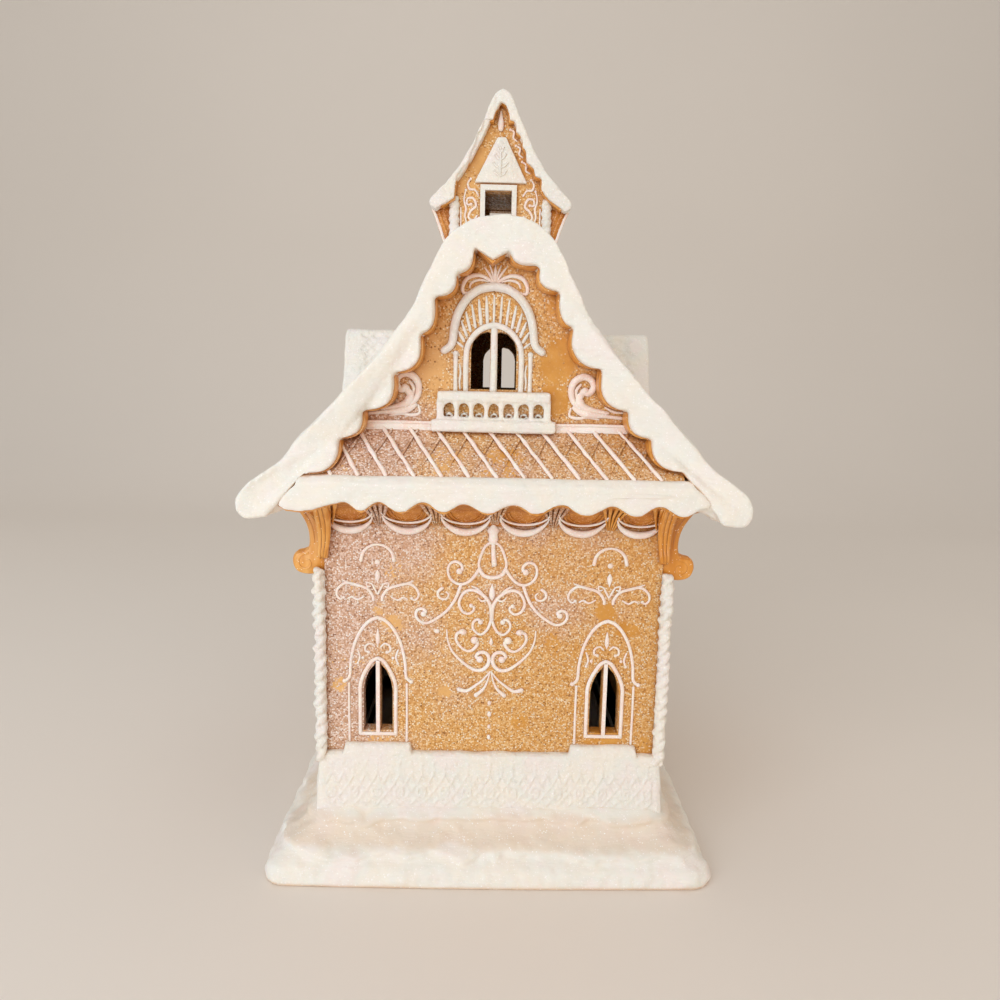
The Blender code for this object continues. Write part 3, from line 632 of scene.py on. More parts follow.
def stacked(rings):
    """Join closed rings of points, from the lowest up, and close both ends."""
    bm = bmesh.new()
    loops = []
    for ring in rings:
        before = set(bm.edges)
        verts = [bm.verts.new(point) for point in ring]
        for one, two in zip(verts, verts[1:] + verts[:1]):
            bm.edges.new((one, two))
        loops.append([edge for edge in bm.edges if edge not in before])
    for one, two in zip(loops, loops[1:]):
        bmesh.ops.bridge_loops(bm, edges=one + two)
    bmesh.ops.holes_fill(bm, edges=[edge for edge in bm.edges if edge.is_boundary])
    bmesh.ops.recalc_face_normals(bm, faces=bm.faces)
    return bm


def four_fold(corner_points):
    """One ring out of the points of one corner or side, repeated round the house."""
    turns = [Matrix.Rotation(k * pi / 2, 3, "Z") for k in range(4)]
    return [turn @ point for turn in turns for point in corner_points]


def square_stack(levels, corner=0.0, steps=1):
    """Join square rings, each a half width and a height, with sharp or round corners."""
    rings = []
    for half, z in levels:
        reach = half - corner
        angles = [pi / 2 * s / steps for s in range(steps + 1)] if corner else [0.0]
        points = [Vector((reach + corner * cos(a), reach + corner * sin(a), z)) for a in angles]
        rings.append(four_fold(points))
    return stacked(rings)


def as_object(bm, name):
    """Put a shape in the scene for a moment, so that modifiers can work on it."""
    mesh = bpy.data.meshes.new(name)
    bm.to_mesh(mesh)
    bm.free()
    item = bpy.data.objects.new(name, mesh)
    bpy.context.scene.collection.objects.link(item)
    return item


def applied(item):
    """The shape of an object with its modifiers; the object goes."""
    graph = bpy.context.evaluated_depsgraph_get()
    mesh = bpy.data.meshes.new_from_object(item.evaluated_get(graph))
    bm = bmesh.new()
    bm.from_mesh(mesh)
    bpy.data.meshes.remove(mesh)
    bpy.data.objects.remove(item, do_unlink=True)
    return bm


def fused(parts, voxel, rounds, keep=1.0):
    """Melt overlapping lumps into one soft skin, and keep a share of its faces."""
    item = as_object(joined(parts), "soft")
    melt = item.modifiers.new("melt", "REMESH")
    melt.mode = "VOXEL"
    melt.voxel_size = voxel
    ease = item.modifiers.new("ease", "SMOOTH")
    ease.factor = 0.5
    ease.iterations = rounds
    if keep < 1.0:
        thin = item.modifiers.new("thin", "DECIMATE")
        thin.ratio = keep
    return applied(item)


def carved(bm, cutters):
    """Cut openings out of a shape."""
    item = as_object(bm, "whole")
    group = bpy.data.collections.new("cutters")
    bpy.context.scene.collection.children.link(group)
    for cutter in cutters:
        tool = as_object(cutter, "cutter")
        bpy.context.scene.collection.objects.unlink(tool)
        group.objects.link(tool)
    cut = item.modifiers.new("cut", "BOOLEAN")
    cut.operation = "DIFFERENCE"
    cut.operand_type = "COLLECTION"
    cut.collection = group
    cut.solver = "EXACT"
    result = applied(item)
    for tool in list(group.objects):
        bpy.data.objects.remove(tool, do_unlink=True)
    bpy.data.collections.remove(group)
    return result


def ruffle(bm, *waves):
    """Push the skin in and out by soft noise; each wave is a size and a height."""
    bm.normal_update()
    moves = []
    for vert in bm.verts:
        push = 0.0
        for size, height in waves:
            push += height * noise.noise(vert.co / size + Vector((size, height, 7.0)))
        moves.append(vert.normal * push)
    for vert, move in zip(bm.verts, moves):
        vert.co += move
    return bm


def piece(name, bm, material, crease=None):
    """Finish a shape as a piece of the house."""
    bmesh.ops.scale(bm, verts=bm.verts, vec=(MM, MM, MM))
    mesh = bpy.data.meshes.new(name)
    bm.to_mesh(mesh)
    bm.free()
    mesh.materials.append(material)
    mesh.shade_smooth()
    if crease is not None:
        mesh.set_sharp_from_angle(angle=radians(crease))
    item = bpy.data.objects.new(name, mesh)
    bpy.context.scene.collection.objects.link(item)
    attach(item, "root")
    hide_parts("house")
    return item


# Walls
def shifted(outline, cx, side=1):
    """An outline moved to a window's middle line, maybe mirrored."""
    return [(cx + side * x, z) for x, z in outline]


def window_cutters():
    """Openings of the lancets on all sides, the gable windows and the side gables."""
    cutters = []
    for turn in range(4):
        for side in (-1, 1):
            for cx in (-LANCET_AT, LANCET_AT):
                pane = slab(shifted(LANCET_PANE, cx, side), INSIDE - 4, WALL + 4)
                cutters.append(copy_turned(pane, turn * pi / 2))
            if turn % 2 == 0:
                pane = slab(shifted(GABLE_PANE, GABLE_SHIFT, side), INSIDE - 4, WALL + 4)
                cutters.append(copy_turned(pane, turn * pi / 2))
    return cutters


def make_walls(bread):
    """Walls and gables with a hollow room, an attic and true window openings."""
    half = sunk(VERGE_HALF, 4.5)[:9]
    outline = mirrored(half + [(110.0, 205.0), (WALL, 199.0), (WALL, 40.0)])
    attic = mirrored(sunk(VERGE_HALF, 14.0)[:6] + [(78.5, 231.0), (78.5, 200.0)])
    hollow = [
        block((-INSIDE, -INSIDE, ROOM_FLOOR), (INSIDE, INSIDE, 215.0)),
        slab(attic, -INSIDE + 0.4, INSIDE - 0.4),
        block((-15.0, -15.0, 305.0), (15.0, 15.0, 345.0)),
    ]
    walls = carved(slab(outline, -WALL, WALL), hollow + window_cutters())
    piece("gingerbread_walls", walls, bread, 30)


def make_cove(bread, amber, shells):
    """The cove under the eaves, the skirt roof, the fans of ribs and the shells inside the swags."""
    room = [block((-INSIDE, -INSIDE, 170.0), (INSIDE, INSIDE, 245.0))]
    cove = square_stack([COVE[0]] + smooth_line(COVE[1:8], 3) + [COVE[8]])
    piece("cove", carved(cove, room), shells, 35)

    def skirt():
        part = slab(SKIRT, -SKIRT_HALF, SKIRT_HALF)
        bmesh.ops.rotate(part, verts=part.verts, matrix=Matrix.Rotation(-pi / 2, 3, "Z"))
        for vert in part.verts:
            vert.co.x *= 1.0 - 0.06 * held((vert.co.z - 214.0) / 12.0)
        return [part]

    piece("skirt_roof", round_the_house(skirt, (0, 2)), bread, 35)

    def fan(cx, low, wide=0.8):
        made = []
        for s in range(-2, 3):
            foot = Vector((cx + s * 1.0 * wide, -89.4, low))
            waist = Vector((cx + s * 2.4 * wide, -cove_reach(192.8) - 0.6, 192.8))
            head = Vector((cx + s * 4.2 * wide, -108.0, 200.4))
            sizes = (0.8, 2.0 * wide, 3.0 * wide)
            made.append(bead([foot, waist, head], sizes, Vector((0.0, -0.7, -0.7)), 0.7, 6))
        return made

    def amber_fans():
        return fan(-86.0, 184.0, 0.9) + fan(86.0, 184.0, 0.9) + fan(60.0, 185.0)

    def glitter_fans():
        return fan(-60.0, 186.0) + fan(-30.0, 186.0) + fan(0.0, 187.0, 0.7) + fan(30.0, 186.0)

    piece("cove_fans", round_the_house(amber_fans), amber)
    piece("cove_spandrels", round_the_house(glitter_fans), bread)

    def folds():
        made = []
        for cx in SWAG_PLACES:
            for ring, size in ((9.0, 1.2), (7.2, 0.9)):
                arc = []
                for s in range(9):
                    angle = pi * (0.04 + 0.92 * s / 8)
                    z = 195.6 - ring * sin(angle)
                    arc.append(Vector((cx - ring * 1.15 * cos(angle), -max(cove_reach(z), WALL) - 0.2, z)))
                made.append(bead(arc, [size] * 9, OUT, 0.8, 6))
        return made

    piece("cove_folds", round_the_house(folds), shells)


def cove_reach(z):
    """How far the cove stands from the middle at a height."""
    for (r0, z0), (r1, z1) in zip(COVE[1:7], COVE[2:8]):
        if z0 <= z <= z1:
            return r0 + (r1 - r0) * (z - z0) / (z1 - z0)
    return COVE[1][0]


def make_swags(icing):
    """Double swags of icing in the cove."""

    def swags():
        made = []
        for cx in SWAG_PLACES:
            for drop, size, start, lower in ((10.2, 3.9, 0.6, 1.2), (6.6, 1.2, 0.9, 0.0)):
                arc = []
                sizes = []
                for s in range(15):
                    t = s / 14
                    angle = pi * (0.05 + 0.90 * t)
                    z = 194.0 - drop * sin(angle) - lower
                    arc.append(Vector((cx - 12.6 * cos(angle), -max(cove_reach(z), WALL) - 1.3, z)))
                    sizes.append(start + (size - start) * sin(pi * min(t * 0.95 + 0.05, 1.0)) ** 1.3)
                made.append(bead(arc, sizes, OUT, 0.8))
        return made

    piece("cove_swags", ruffle(round_the_house(swags), (5.0, 0.15)), icing)


# Snow
def pull_forward(bm):
    """Bring the low ends of a verge forward over the skirt roof."""
    for vert in bm.verts:
        low = held((243.0 - vert.co.z) / 36.0)
        if vert.co.y < -95.0:
            vert.co.y -= 14.2 * low * low * (3 - 2 * low)
    return bm


def eave_lobes(lower, top):
    """Front outline of an eave band: slanted ends and a soft wave along its lower edge."""
    outline = [(96.0, 211.0), (-94.0, 211.0), (-98.5, 208.0), (-102.6, 203.4), (-104.6, 199.6),
               (-101.0, 197.4), (-94.0, 196.6), (-88.0, 197.4), (-80.0, 200.2)]
    for x0, x1 in zip(EAVE_NOTCHES, EAVE_NOTCHES[1:]):
        for s in range(8):
            hang = EAVE_HANG * (0.5 - 0.5 * cos(2 * pi * s / 8))
            outline.append((x0 + (x1 - x0) * s / 8, EAVE_CUSP - hang))
    outline += [(EAVE_NOTCHES[-1], EAVE_CUSP), (103.6, 203.0), (100.0, 208.0)]
    return [(x, min(z - lower, top)) for x, z in outline]


def eave_band():
    """Snow along one eave, with lobes that hang from it."""
    profile = ((109.0, 204.0), (116.8, 204.0), (118.0, 207.4), (117.2, 210.8), (115.2, 213.4), (112.6, 214.8),
               (109.5, 212.0))
    bar = slab(profile, -95.0, 96.0)
    bmesh.ops.rotate(bar, verts=bar.verts, matrix=Matrix.Rotation(-pi / 2, 3, "Z"))
    return [bar, slab(eave_lobes(0.0, 211.0), 108.5, 117.8)]


def corner_lumps():
    """Rounded snow at the four corners of the eaves."""
    made = []
    for sx, sy in CORNERS:
        made.append(blob((sx * 112.6, sy * 106.5, 201.6), 10.4, (1.10, 0.98, 0.80)))
        made.append(blob((sx * 104.0, sy * 108.5, 204.5), 9.5, (1.25, 0.75, 0.75)))
    return made


def emboss(bm, tall, step, wide, inside):
    """Press a soft lattice of diamonds into roof slopes; inside says which points take part."""
    bm.normal_update()
    for vert in bm.verts:
        share = inside(vert)
        if share <= 0.0:
            continue
        along = vert.co.y if abs(vert.normal.x) > abs(vert.normal.y) else vert.co.x
        down = vert.co.z * 1.25
        high = 0.0
        for line in (along + down, along - down):
            gap = abs((line / step) % 1.0 - 0.5) * step
            high = max(high, ridge(step / 2 - gap, wide))
        vert.co += vert.normal * tall * share * high


def on_main_slope(vert):
    """1 on the open side slopes of the main roof, fading to 0 at their edges."""
    steep = held((abs(vert.normal.x) - 0.5) / 0.25) if vert.normal.z > 0.2 else 0.0
    return steep * held((84.0 - abs(vert.co.y)) / 5.0) * held((vert.co.z - 222.0) / 6.0)


def on_side_gable(vert):
    """1 on the slopes of the small side gables, inside their raised verges."""
    steep = held((abs(vert.normal.y) - 0.4) / 0.25) if vert.normal.z > 0.15 else 0.0
    edge = 81.0 + 1.6 * sin(vert.co.z * 0.55) + 0.8 * sin(vert.co.z * 1.3)
    return steep * held((edge - abs(vert.co.x)) / 1.6) * held((288.0 - vert.co.z) / 2.0)


def make_roof_snow(snow, amber):
    """Thick snow on the main roof: slopes, verges and corner lumps, then the bands along the eaves."""
    verge = scalloped(VERGE_HALF, LEFT_CUSPS, RIGHT_CUSPS, VERGE_TIP)
    parts = [pull_forward(slab(verge, 86.0, VERGE_FRONT - 0.6))]
    parts.append(copy_turned(parts[0], pi))
    slope = list(sunk(VERGE_HALF, 0.6)[:8]) + [(111.6, 213.6), (116.0, 208.0)]
    parts.append(band(slope, 6.0, -88.0, 88.0))
    parts += corner_lumps()
    skin = fused(parts, 1.2, 3, 0.5)
    emboss(skin, 0.9, 15.0, 1.5, on_main_slope)
    ruffle(skin, (16.0, 0.8), (6.0, 0.3))
    keep_inside(skin)
    piece("roof_snow", skin, snow)
    skin = fused(round_parts(eave_band()), 1.1, 4, 0.6)
    ruffle(skin, (14.0, 0.7), (5.0, 0.3))
    keep_inside(skin)
    piece("eave_snow", skin, snow)
    left = [(x - 0.9, z - 0.4) for x, z in LEFT_CUSPS]
    right = [(x - 0.9, z - 0.4) for x, z in RIGHT_CUSPS]
    board = scalloped(sunk(VERGE_HALF, 3.0), left, right, (VERGE_TIP[0], VERGE_TIP[1] - 0.9))
    boards = [pull_forward(slab(board, 86.0, VERGE_FRONT - 4.6))]
    boards.append(copy_turned(boards[0], pi))
    boards += round_parts([slab(eave_lobes(0.8, 205.0), 106.0, 114.6)])
    piece("roof_boards", joined(boards), amber, 35)


def keep_inside(bm):
    """Keep soft forms inside the outer sizes of the casting."""
    low = LOW / MM
    high = HIGH / MM
    for vert in bm.verts:
        for axis in range(3):
            vert.co[axis] = min(max(vert.co[axis], low[axis]), high[axis])


def make_side_gables(bread, snow, icing):
    """Small steep gables on both sides: body, snow, window."""
    body = mirrored(list(sunk(SIDE_HALF, 2.5)[:7]) + [(34.0, 228.0)])
    shell = carved(slab(body, 30.0, 80.0), [slab(shifted(SIDE_PANE, 0, s), 60.0, 90.0) for s in (-1, 1)])
    bodies = [copy_turned(shell, turn * pi / 2) for turn in (1, 3)]
    shell.free()
    piece("side_gables", joined(bodies), bread, 30)
    verge = slab(scalloped(SIDE_HALF, SIDE_CUSPS, SIDE_CUSPS, (0.0, 276.4)), 79.0, 91.6)
    layer = band(list(sunk(SIDE_HALF, 0.3)[:7]), 3.4, 32.0, 90.0)
    top = [copy_turned(part, turn * pi / 2) for turn in (1, 3) for part in (verge, layer)]
    verge.free()
    layer.free()
    skin = fused(top, 0.9, 3)
    skin.normal_update()
    for vert in skin.verts:
        vert.co -= vert.normal * 1.1 * on_side_gable(vert)
    emboss(skin, 0.9, 8.5, 1.0, on_side_gable)
    ruffle(skin, (9.0, 0.4), (3.5, 0.2))
    keep_inside(skin)
    piece("side_gable_snow", skin, snow)

    def windows():
        frame_line = [(-7.4, 250.0), (-7.4, 262.0), (-5.6, 268.0), (0.0, 272.2), (5.6, 268.0), (7.4, 262.0),
                      (7.4, 250.0)]
        made = [stroke(frame_line, (1.9, 1.9, 1.9), face=80.0)]
        made.append(block((-9.5, -82.4, 246.8), (9.5, -79.0, 249.6)))
        made += both_sides(([(9.2, 252.0), (10.8, 249.0), (13.5, 248.2), (14.6, 250.4), (13.0, 251.8)],
                            (1.0, 1.3, 1.4), 1.0), face=80.0)
        return made

    piece("side_gable_windows", round_the_house(windows, (1, 3)), icing, 40)


# Tower
def make_tower(bread, amber, dark, snow, icing):
    """The little tower on the ridge."""
    line = list(sunk(TOWER_HALF_LINE, 2.6)[:8]) + [(35.3, 356.2), (TOWER_POST, 357.2), (TOWER_POST, 312.0)]
    pane = slab(shifted(TOWER_PANE, TOWER_SHIFT), 15.0, 40.0)
    room = block((-21.5, -21.5, 343.0), (21.5, 21.5, 366.2))
    shaft = block((-15.0, -15.0, 300.0), (15.0, 15.0, 350.0))
    walls = carved(slab(mirrored(line), -TOWER, TOWER), [room, shaft, copy_turned(pane, pi), pane])
    piece("tower_walls", walls, bread, 30)
    verge = slab(mirrored(smooth_line(TOWER_HALF_LINE, 5)) + list(reversed(TOWER_INNER)), TOWER - 1.0, 34.4)
    parts = [verge, copy_turned(verge, pi), band(list(sunk(TOWER_HALF_LINE, 0.3)[:9]), 3.2, -33.0, 33.0)]
    parts += [blob((sx * 36.4, sy * 30.0, 357.8), 3.6, (0.9, 1.2, 1.0)) for sx, sy in CORNERS]
    skin = fused(parts, 0.62, 2, 0.6)
    ruffle(skin, (7.0, 0.5), (2.6, 0.25))
    keep_inside(skin)
    piece("tower_snow", skin, snow)
    inner = [(x * 0.98 - 0.02, z - 0.6) for x, z in TOWER_INNER]
    board = slab(mirrored(sunk(TOWER_HALF_LINE, 2.0)) + list(reversed(inner)), TOWER - 1.0, 32.4)
    piece("tower_boards", joined([board, copy_turned(board, pi)]), amber, 35)
    sides, rims = tower_brackets()
    piece("tower_brackets", joined(sides), dark, 35)
    piece("tower_bracket_rims", joined(rims), icing, 35)
    piece("tower_trim", round_the_house(tower_front, (0, 2)), snow, 35)
    piece("tower_scrolls", round_the_house(tower_scrolls, (0, 2)), icing)
    posts = []
    for sx, sy in CORNERS:
        posts += twist(sx * (TOWER_POST + 0.4), sy * TOWER, 318.0, 361.0, 1.3, 1.8, 8.0)
    piece("tower_posts", ruffle(fused(posts, 0.6, 1), (2.4, 0.3), (1.1, 0.12)), snow)


def tower_brackets():
    """Tapered amber brackets under the side eaves of the tower, with a raised outer rim."""
    made = []
    rims = []
    profile = smooth_line([(24.0, 357.5), (38.0, 356.6), (37.2, 351.6), (34.9, 345.6), (33.0, 339.8),
                           (31.0, 337.2), (24.0, 335.6)], 3)
    for side in (-1, 1):
        for at in (-24.0, 24.0):
            made.append(rounded(slab([(side * x, z) for x, z in profile], at - 2.6, at + 2.6), 0.5))
            rim = [(side * (x - 0.9), z) for x, z in profile[3:16]]
            for face in (-at - 2.6, -at + 2.6):
                rims.append(bead([Vector((x, face, z)) for x, z in rim], [1.7] * len(rim), OUT, 0.8, 6))
            for inset in (3.6, 6.4):
                spine = [Vector((side * (x - inset), -at - 2.6, z)) for x, z in profile[3:13]]
                made.append(bead(spine, [1.5] * len(spine), OUT, 0.7, 6))
    return made, rims


def ring_frame(outer, inner, back, front):
    """A flat frame between an outer and an inner square, each a low and a high corner."""
    (x0, z0), (x1, z1) = outer
    (u0, w0), (u1, w1) = inner
    hole = slab([(u0, w0), (u1, w0), (u1, w1), (u0, w1)], back - 2.0, front + 2.0)
    return carved(slab([(x0, z0), (x1, z0), (x1, z1), (x0, z1)], back, front), [hole])


def tower_front():
    """Window frame and pediment on the tower's front, with a faint flower on the pediment."""
    face = TOWER + 2.4
    gable = slab([(-14.8, 369.9), (14.6, 369.9), (2.3, 394.0), (-2.3, 394.0)], TOWER - 1.0, face)
    s = TOWER_SHIFT
    outer = ((s - 10.2, 346.0), (s + 10.2, 368.9))
    inner = ((s - 7.5, 350.0), (s + 7.5, 366.0))
    made = [rounded(gable, 0.7), ring_frame(outer, inner, TOWER - 1.0, TOWER + 1.8)]
    made.append(stroke([(-0.6, 373.0), (-0.6, 379.0), (-0.4, 388.5)], (0.8, 1.5, 0.7), face=face))
    for z, wide in ((375.0, 3.4), (379.2, 4.0), (383.6, 2.8), (387.2, 1.6)):
        leaf = [(0.3, z - 1.6), (wide * 0.6, z - 0.6), (wide, z + 1.2)]
        made += both_sides((leaf, (0.8, 1.3, 0.7), 0.7), at=(-0.6, 0.0), face=face)
    return made


def tower_scrolls():
    """The drop under the apex and the piped scrolls beside the window."""
    drop = [(-0.7, -TOWER - lift, z) for lift, z in ((0.6, 407.6), (0.9, 404.6), (1.1, 401.4), (1.0, 398.6))]
    made = [bead(drop, (1.0, 2.2, 3.4, 3.0), OUT, 0.6)]
    made += both_sides(
        ([(22.4, 344.0), (22.3, 350.0), (22.4, 356.6)], (0.9, 1.0, 0.8)),
        ([(13.2, 352.4), (15.4, 349.6), (18.0, 351.6), (16.6, 355.0), (13.8, 357.6), (15.4, 361.6),
          (18.6, 361.4), (18.8, 358.4), (16.6, 358.4)], (1.0, 1.5, 1.0), 0.9),
        ([(18.6, 347.4), (20.0, 352.0), (19.4, 356.0), (20.6, 361.0), (19.6, 366.0)], (0.8, 1.3, 0.8), 0.8),
        ([(12.6, 363.4), (14.6, 366.2), (17.6, 366.6), (18.6, 369.6), (17.0, 372.0)], (0.9, 1.4, 0.9), 0.8),
        face=TOWER)
    made += [stroke(each, (0.8, 1.4, 0.8), 0.8, face=TOWER) for each in (
        [(16.0, 375.6), (13.8, 377.0), (14.0, 380.0), (11.6, 381.6)],
        [(11.8, 384.0), (9.8, 385.6), (10.4, 388.6), (8.0, 390.0)],
        [(8.4, 392.4), (6.4, 394.2), (6.8, 397.2), (4.6, 398.4)])]
    return made


def twist(cx, cy, low, high, reach, radius, pitch):
    """Two strands of icing wound round each other."""
    made = []
    turns = (high - low) / pitch
    count = int(turns * 14)
    for start in (0.0, pi):
        line = []
        for i in range(count + 1):
            share = i / count
            angle = start + 2 * pi * turns * share
            line.append((cx + reach * cos(angle), cy + reach * sin(angle), low + (high - low) * share))
        made.append(bead(line, [radius * 2] * len(line), Vector((1.0, 0.0, 0.0)), 1.0, 8))
    return made


# Corners
# Brackets seen from the side: how far they stand out from the wall, and height
SCROLLED = (
    (-1.5, 201.0), (22.5, 201.8), (18.5, 198.0), (13.6, 192.6), (9.4, 186.0), (7.6, 179.0), (8.0, 172.6),
    (11.4, 170.2), (15.2, 169.0), (16.6, 164.8), (14.8, 160.2), (10.0, 158.4), (4.6, 158.8), (-1.5, 161.0),
)
TAPERED = (
    (-1.5, 201.0), (22.0, 201.8), (18.0, 197.6), (12.8, 191.6), (8.6, 185.6), (6.2, 180.0), (5.6, 175.6),
    (6.4, 172.6), (5.6, 169.6), (3.2, 168.0), (-1.5, 167.0),
)
TAPERED_FACE = 90.6
EYE = (9.9, 164.4)
EYE_STEPS = 15


def bracket_shape(outline, flutes, eye_size, low, high, soft):
    """One bracket that stands out to +X, with rounded edges, a fluted strap and maybe a scroll."""
    profile = smooth_line(outline, 4)[1:]
    strap = slab([(WALL + x, z) for x, z in profile], low, high)
    rim = [edge for edge in strap.edges if abs(edge.verts[0].co.y - edge.verts[1].co.y) < 0.01]
    made = [rounded(strap, soft, 3, rim)]
    outer = [(WALL + x, z) for x, z in profile[3:flutes]]
    for share in (0.2, 0.5, 0.8):
        line = [(x - 0.1, -low - (high - low) * share, z) for x, z in outer]
        sizes = [2.0 - 1.2 * max(s / len(line) - 0.7, 0.0) / 0.3 for s in range(len(line))]
        made.append(bead(line, sizes, Vector((1.0, 0.0, 0.6)), 0.8, 6))
    if eye_size:
        eye = []
        for i in range(EYE_STEPS):
            angle = radians(100 - 26 * i)
            reach = eye_size * (1.0 - 0.05 * i)
            eye.append((WALL + EYE[0] + reach * cos(angle), EYE[1] + reach * sin(angle)))
        for face in (high, low):
            line = [(x, -face, z) for x, z in eye]
            made.append(bead(line, [1.7 - 0.05 * i for i in range(EYE_STEPS)], OUT, 0.6, 6))
    for inset, size in ((1.7, 1.4), (4.4, 1.1)):
        edge = [(WALL + x - inset, -high, z) for x, z in profile[6:22]]
        made.append(bead(edge, [size] * len(edge), OUT, 0.6, 6))
    return made


def make_brackets(amber):
    """At every corner, a scrolled bracket and a tapered one."""
    scrolled = joined(bracket_shape(SCROLLED, 42, 5.2, 79.0, 87.4, 0.9))
    tapered = joined(bracket_shape(TAPERED, 36, 0.0, 83.0, TAPERED_FACE, 1.9))
    for vert in tapered.verts:
        share = held((vert.co.z - 166.0) / 22.0)
        vert.co.y = -TAPERED_FACE + (vert.co.y + TAPERED_FACE) * (0.45 + 0.55 * share ** 0.7)
    to_front = Matrix(((0, -1, 0, 0), (-1, 0, 0, 0), (0, 0, 1, 0), (0, 0, 0, 1)))
    bmesh.ops.transform(tapered, matrix=to_front, verts=tapered.verts)
    bmesh.ops.reverse_faces(tapered, faces=tapered.faces)
    corner = joined([scrolled, tapered])
    other = corner.copy()
    bmesh.ops.transform(other, matrix=Matrix.Scale(-1.0, 4, Vector((1.0, 0.0, 0.0))), verts=other.verts)
    bmesh.ops.reverse_faces(other, faces=other.faces)
    corners = [copy_turned(each, turn) for each in (corner, other) for turn in (0.0, pi)]
    corner.free()
    other.free()
    piece("corner_brackets", joined(corners), amber, 40)


def make_ropes(snow):
    """Lumpy twisted ropes of snow icing down the corners."""
    strands = []
    for sx, sy in CORNERS:
        strands += twist(sx * 91.0, sy * 91.0, 57.0, 161.0, 1.5, 2.1, 12.4)
    piece("corner_ropes", ruffle(fused(strands, 0.7, 1), (4.0, 0.9), (1.7, 0.35)), snow)


# Base
def make_mound(snow):
    """The lumpy snow mound with two soft lips, hollow under the room."""
    skin = fused([square_stack(MOUND, MOUND_CORNER, 6)], 1.3, 4)
    skin.normal_update()
    for vert in skin.verts:
        x, y, z = vert.co
        if max(abs(x), abs(y)) < 84.0:
            continue
        bow = 1.0 - (min(abs(x), abs(y)) / 118.0) ** 2
        vert.co += Vector((x, y, 0.0)).normalized() * 1.6 * bow * max(1.0 - z / 26.0, 0.0)
        if z < 1.0 or z > 33.0:
            continue
        around = noise.noise(Vector((x, y, 0.0)) / 23.0) * 3.4 + noise.noise(Vector((x, y, 9.0)) / 8.0) * 1.6
        push = 0.0
        for height, tall in ((26.5, 3.2), (14.0, 4.0)):
            drop = z - height - around
            push += tall * ridge(drop, 4.0 if drop > 0 else 1.4)
        push += 1.3 * noise.noise(vert.co / 11.0) + 1.0 * noise.noise(vert.co / 4.6)
        side = Vector((vert.normal.x, vert.normal.y, vert.normal.z * 0.4))
        vert.co += side * push * min(z / 4.0, 1.0)
    keep_inside(skin)
    hollow = carved(skin, [block((-INSIDE, -INSIDE, ROOM_FLOOR), (INSIDE, INSIDE, 80.0))])
    piece("snow_mound", hollow, snow)
    crumbs = []
    for _ in range(150):
        turn = random.randrange(4)
        along = random.uniform(-112.0, 112.0)
        out = 116.4 - max(0.0, abs(along) - 104.0) * 0.35
        crumb = blob((along, -out - random.uniform(-0.5, 0.3), random.uniform(0.3, 2.4)),
                     random.uniform(0.35, 0.75), (1.0, 1.0, random.uniform(0.7, 1.5)), 1)
        crumbs.append(copy_turned(crumb, turn * pi / 2))
        crumb.free()
    trimmed = joined(crumbs)
    keep_inside(trimmed)
    piece("snow_crumbs", trimmed, snow)


def plinth_relief(along, z):
    """Height of the relief on the plinth: crossing pointed arches, drops inside them, dots above."""
    pitch = 12.2
    tall = 0.0
    for shift in (-1.5, -1.0, -0.5, 0.0, 0.5, 1.0, 1.5):
        local = (along / pitch + 0.5) % 1.0 - 0.5 + shift
        across = abs(local) * pitch
        rise = 50.5 - 17.5 * (across / pitch) ** 0.75
        if 32.0 < z < 52.0 and across < pitch * 1.05:
            tall = max(tall, 0.66 * ridge((z - rise) * 0.62, 0.75))
    local = ((along / pitch + 0.5) % 1.0 - 0.5) * pitch
    halfway = ((along / pitch) % 1.0 - 0.5) * pitch
    drop = hypot(local / 2.1, (z - 40.0) / 3.2)
    tall = max(tall, 0.8 * ridge(drop - 1.0, 0.30), 0.8 * ridge(hypot(local, z - 39.4), 1.0))
    for height, size in ((55.4, 0.9), (52.6, 0.6)):
        tall = max(tall, 0.6 * ridge(hypot(local * 1.3, (z - height) * 0.8), size))
    tall = max(tall, 0.6 * ridge(hypot(halfway, z - 49.6), 1.0))
    return max(tall, 0.5 * ridge(hypot(halfway * 1.4, z - 56.0), 0.9))


def make_plinth(snow):
    """White plinth with raised sills and a low relief, drawn as rings of closely set points."""
    levels = []
    for (r0, z0), (r1, z1) in zip(PLINTH, PLINTH[1:]):
        count = max(int(hypot(r1 - r0, z1 - z0) / PLINTH_STEP), 1)
        levels += [(r0 + (r1 - r0) * s / count, z0 + (z1 - z0) * s / count) for s in range(count)]
    levels.append(PLINTH[-1])
    shares = [(s / PLINTH_POINTS - 0.5) * 2.0 for s in range(PLINTH_POINTS)]
    bm = stacked([four_fold([Vector((share * half, -half, z)) for share in shares]) for half, z in levels])
    for vert in bm.verts:
        x, y, z = vert.co
        reach = max(abs(x), abs(y))
        along = x if abs(y) > abs(x) else y
        out = Vector((0.0, y / reach, 0.0)) if abs(y) > abs(x) else Vector((x / reach, 0.0, 0.0))
        round_off = max(abs(along) - reach + 3.0, 0.0)
        vert.co -= Vector((x, y, 0.0)).normalized() * round_off * 0.4
        if z > 57.0:
            to_sill = min(abs(along - LANCET_AT), abs(along + LANCET_AT)) - SILL_HALF
            rise = SILL_RISE * held(0.5 - to_sill / 0.9) + 0.5 * noise.noise(Vector((x, y, 0.0)) / 7.0)
            vert.co.z += rise * (z - 57.0) / 4.0
            if reach < 90.5:
                vert.co += out * 0.2
        if abs(along) < 88.0:
            vert.co += out * 1.1 * plinth_relief(along, z)
        vert.co += out * (0.35 * noise.noise(vert.co / 9.0) + 0.15 * noise.noise(vert.co / 3.0))
    room = [block((-INSIDE, -INSIDE, 20.0), (INSIDE, INSIDE, 80.0))]
    piece("plinth", carved(bm, room), snow, 60)


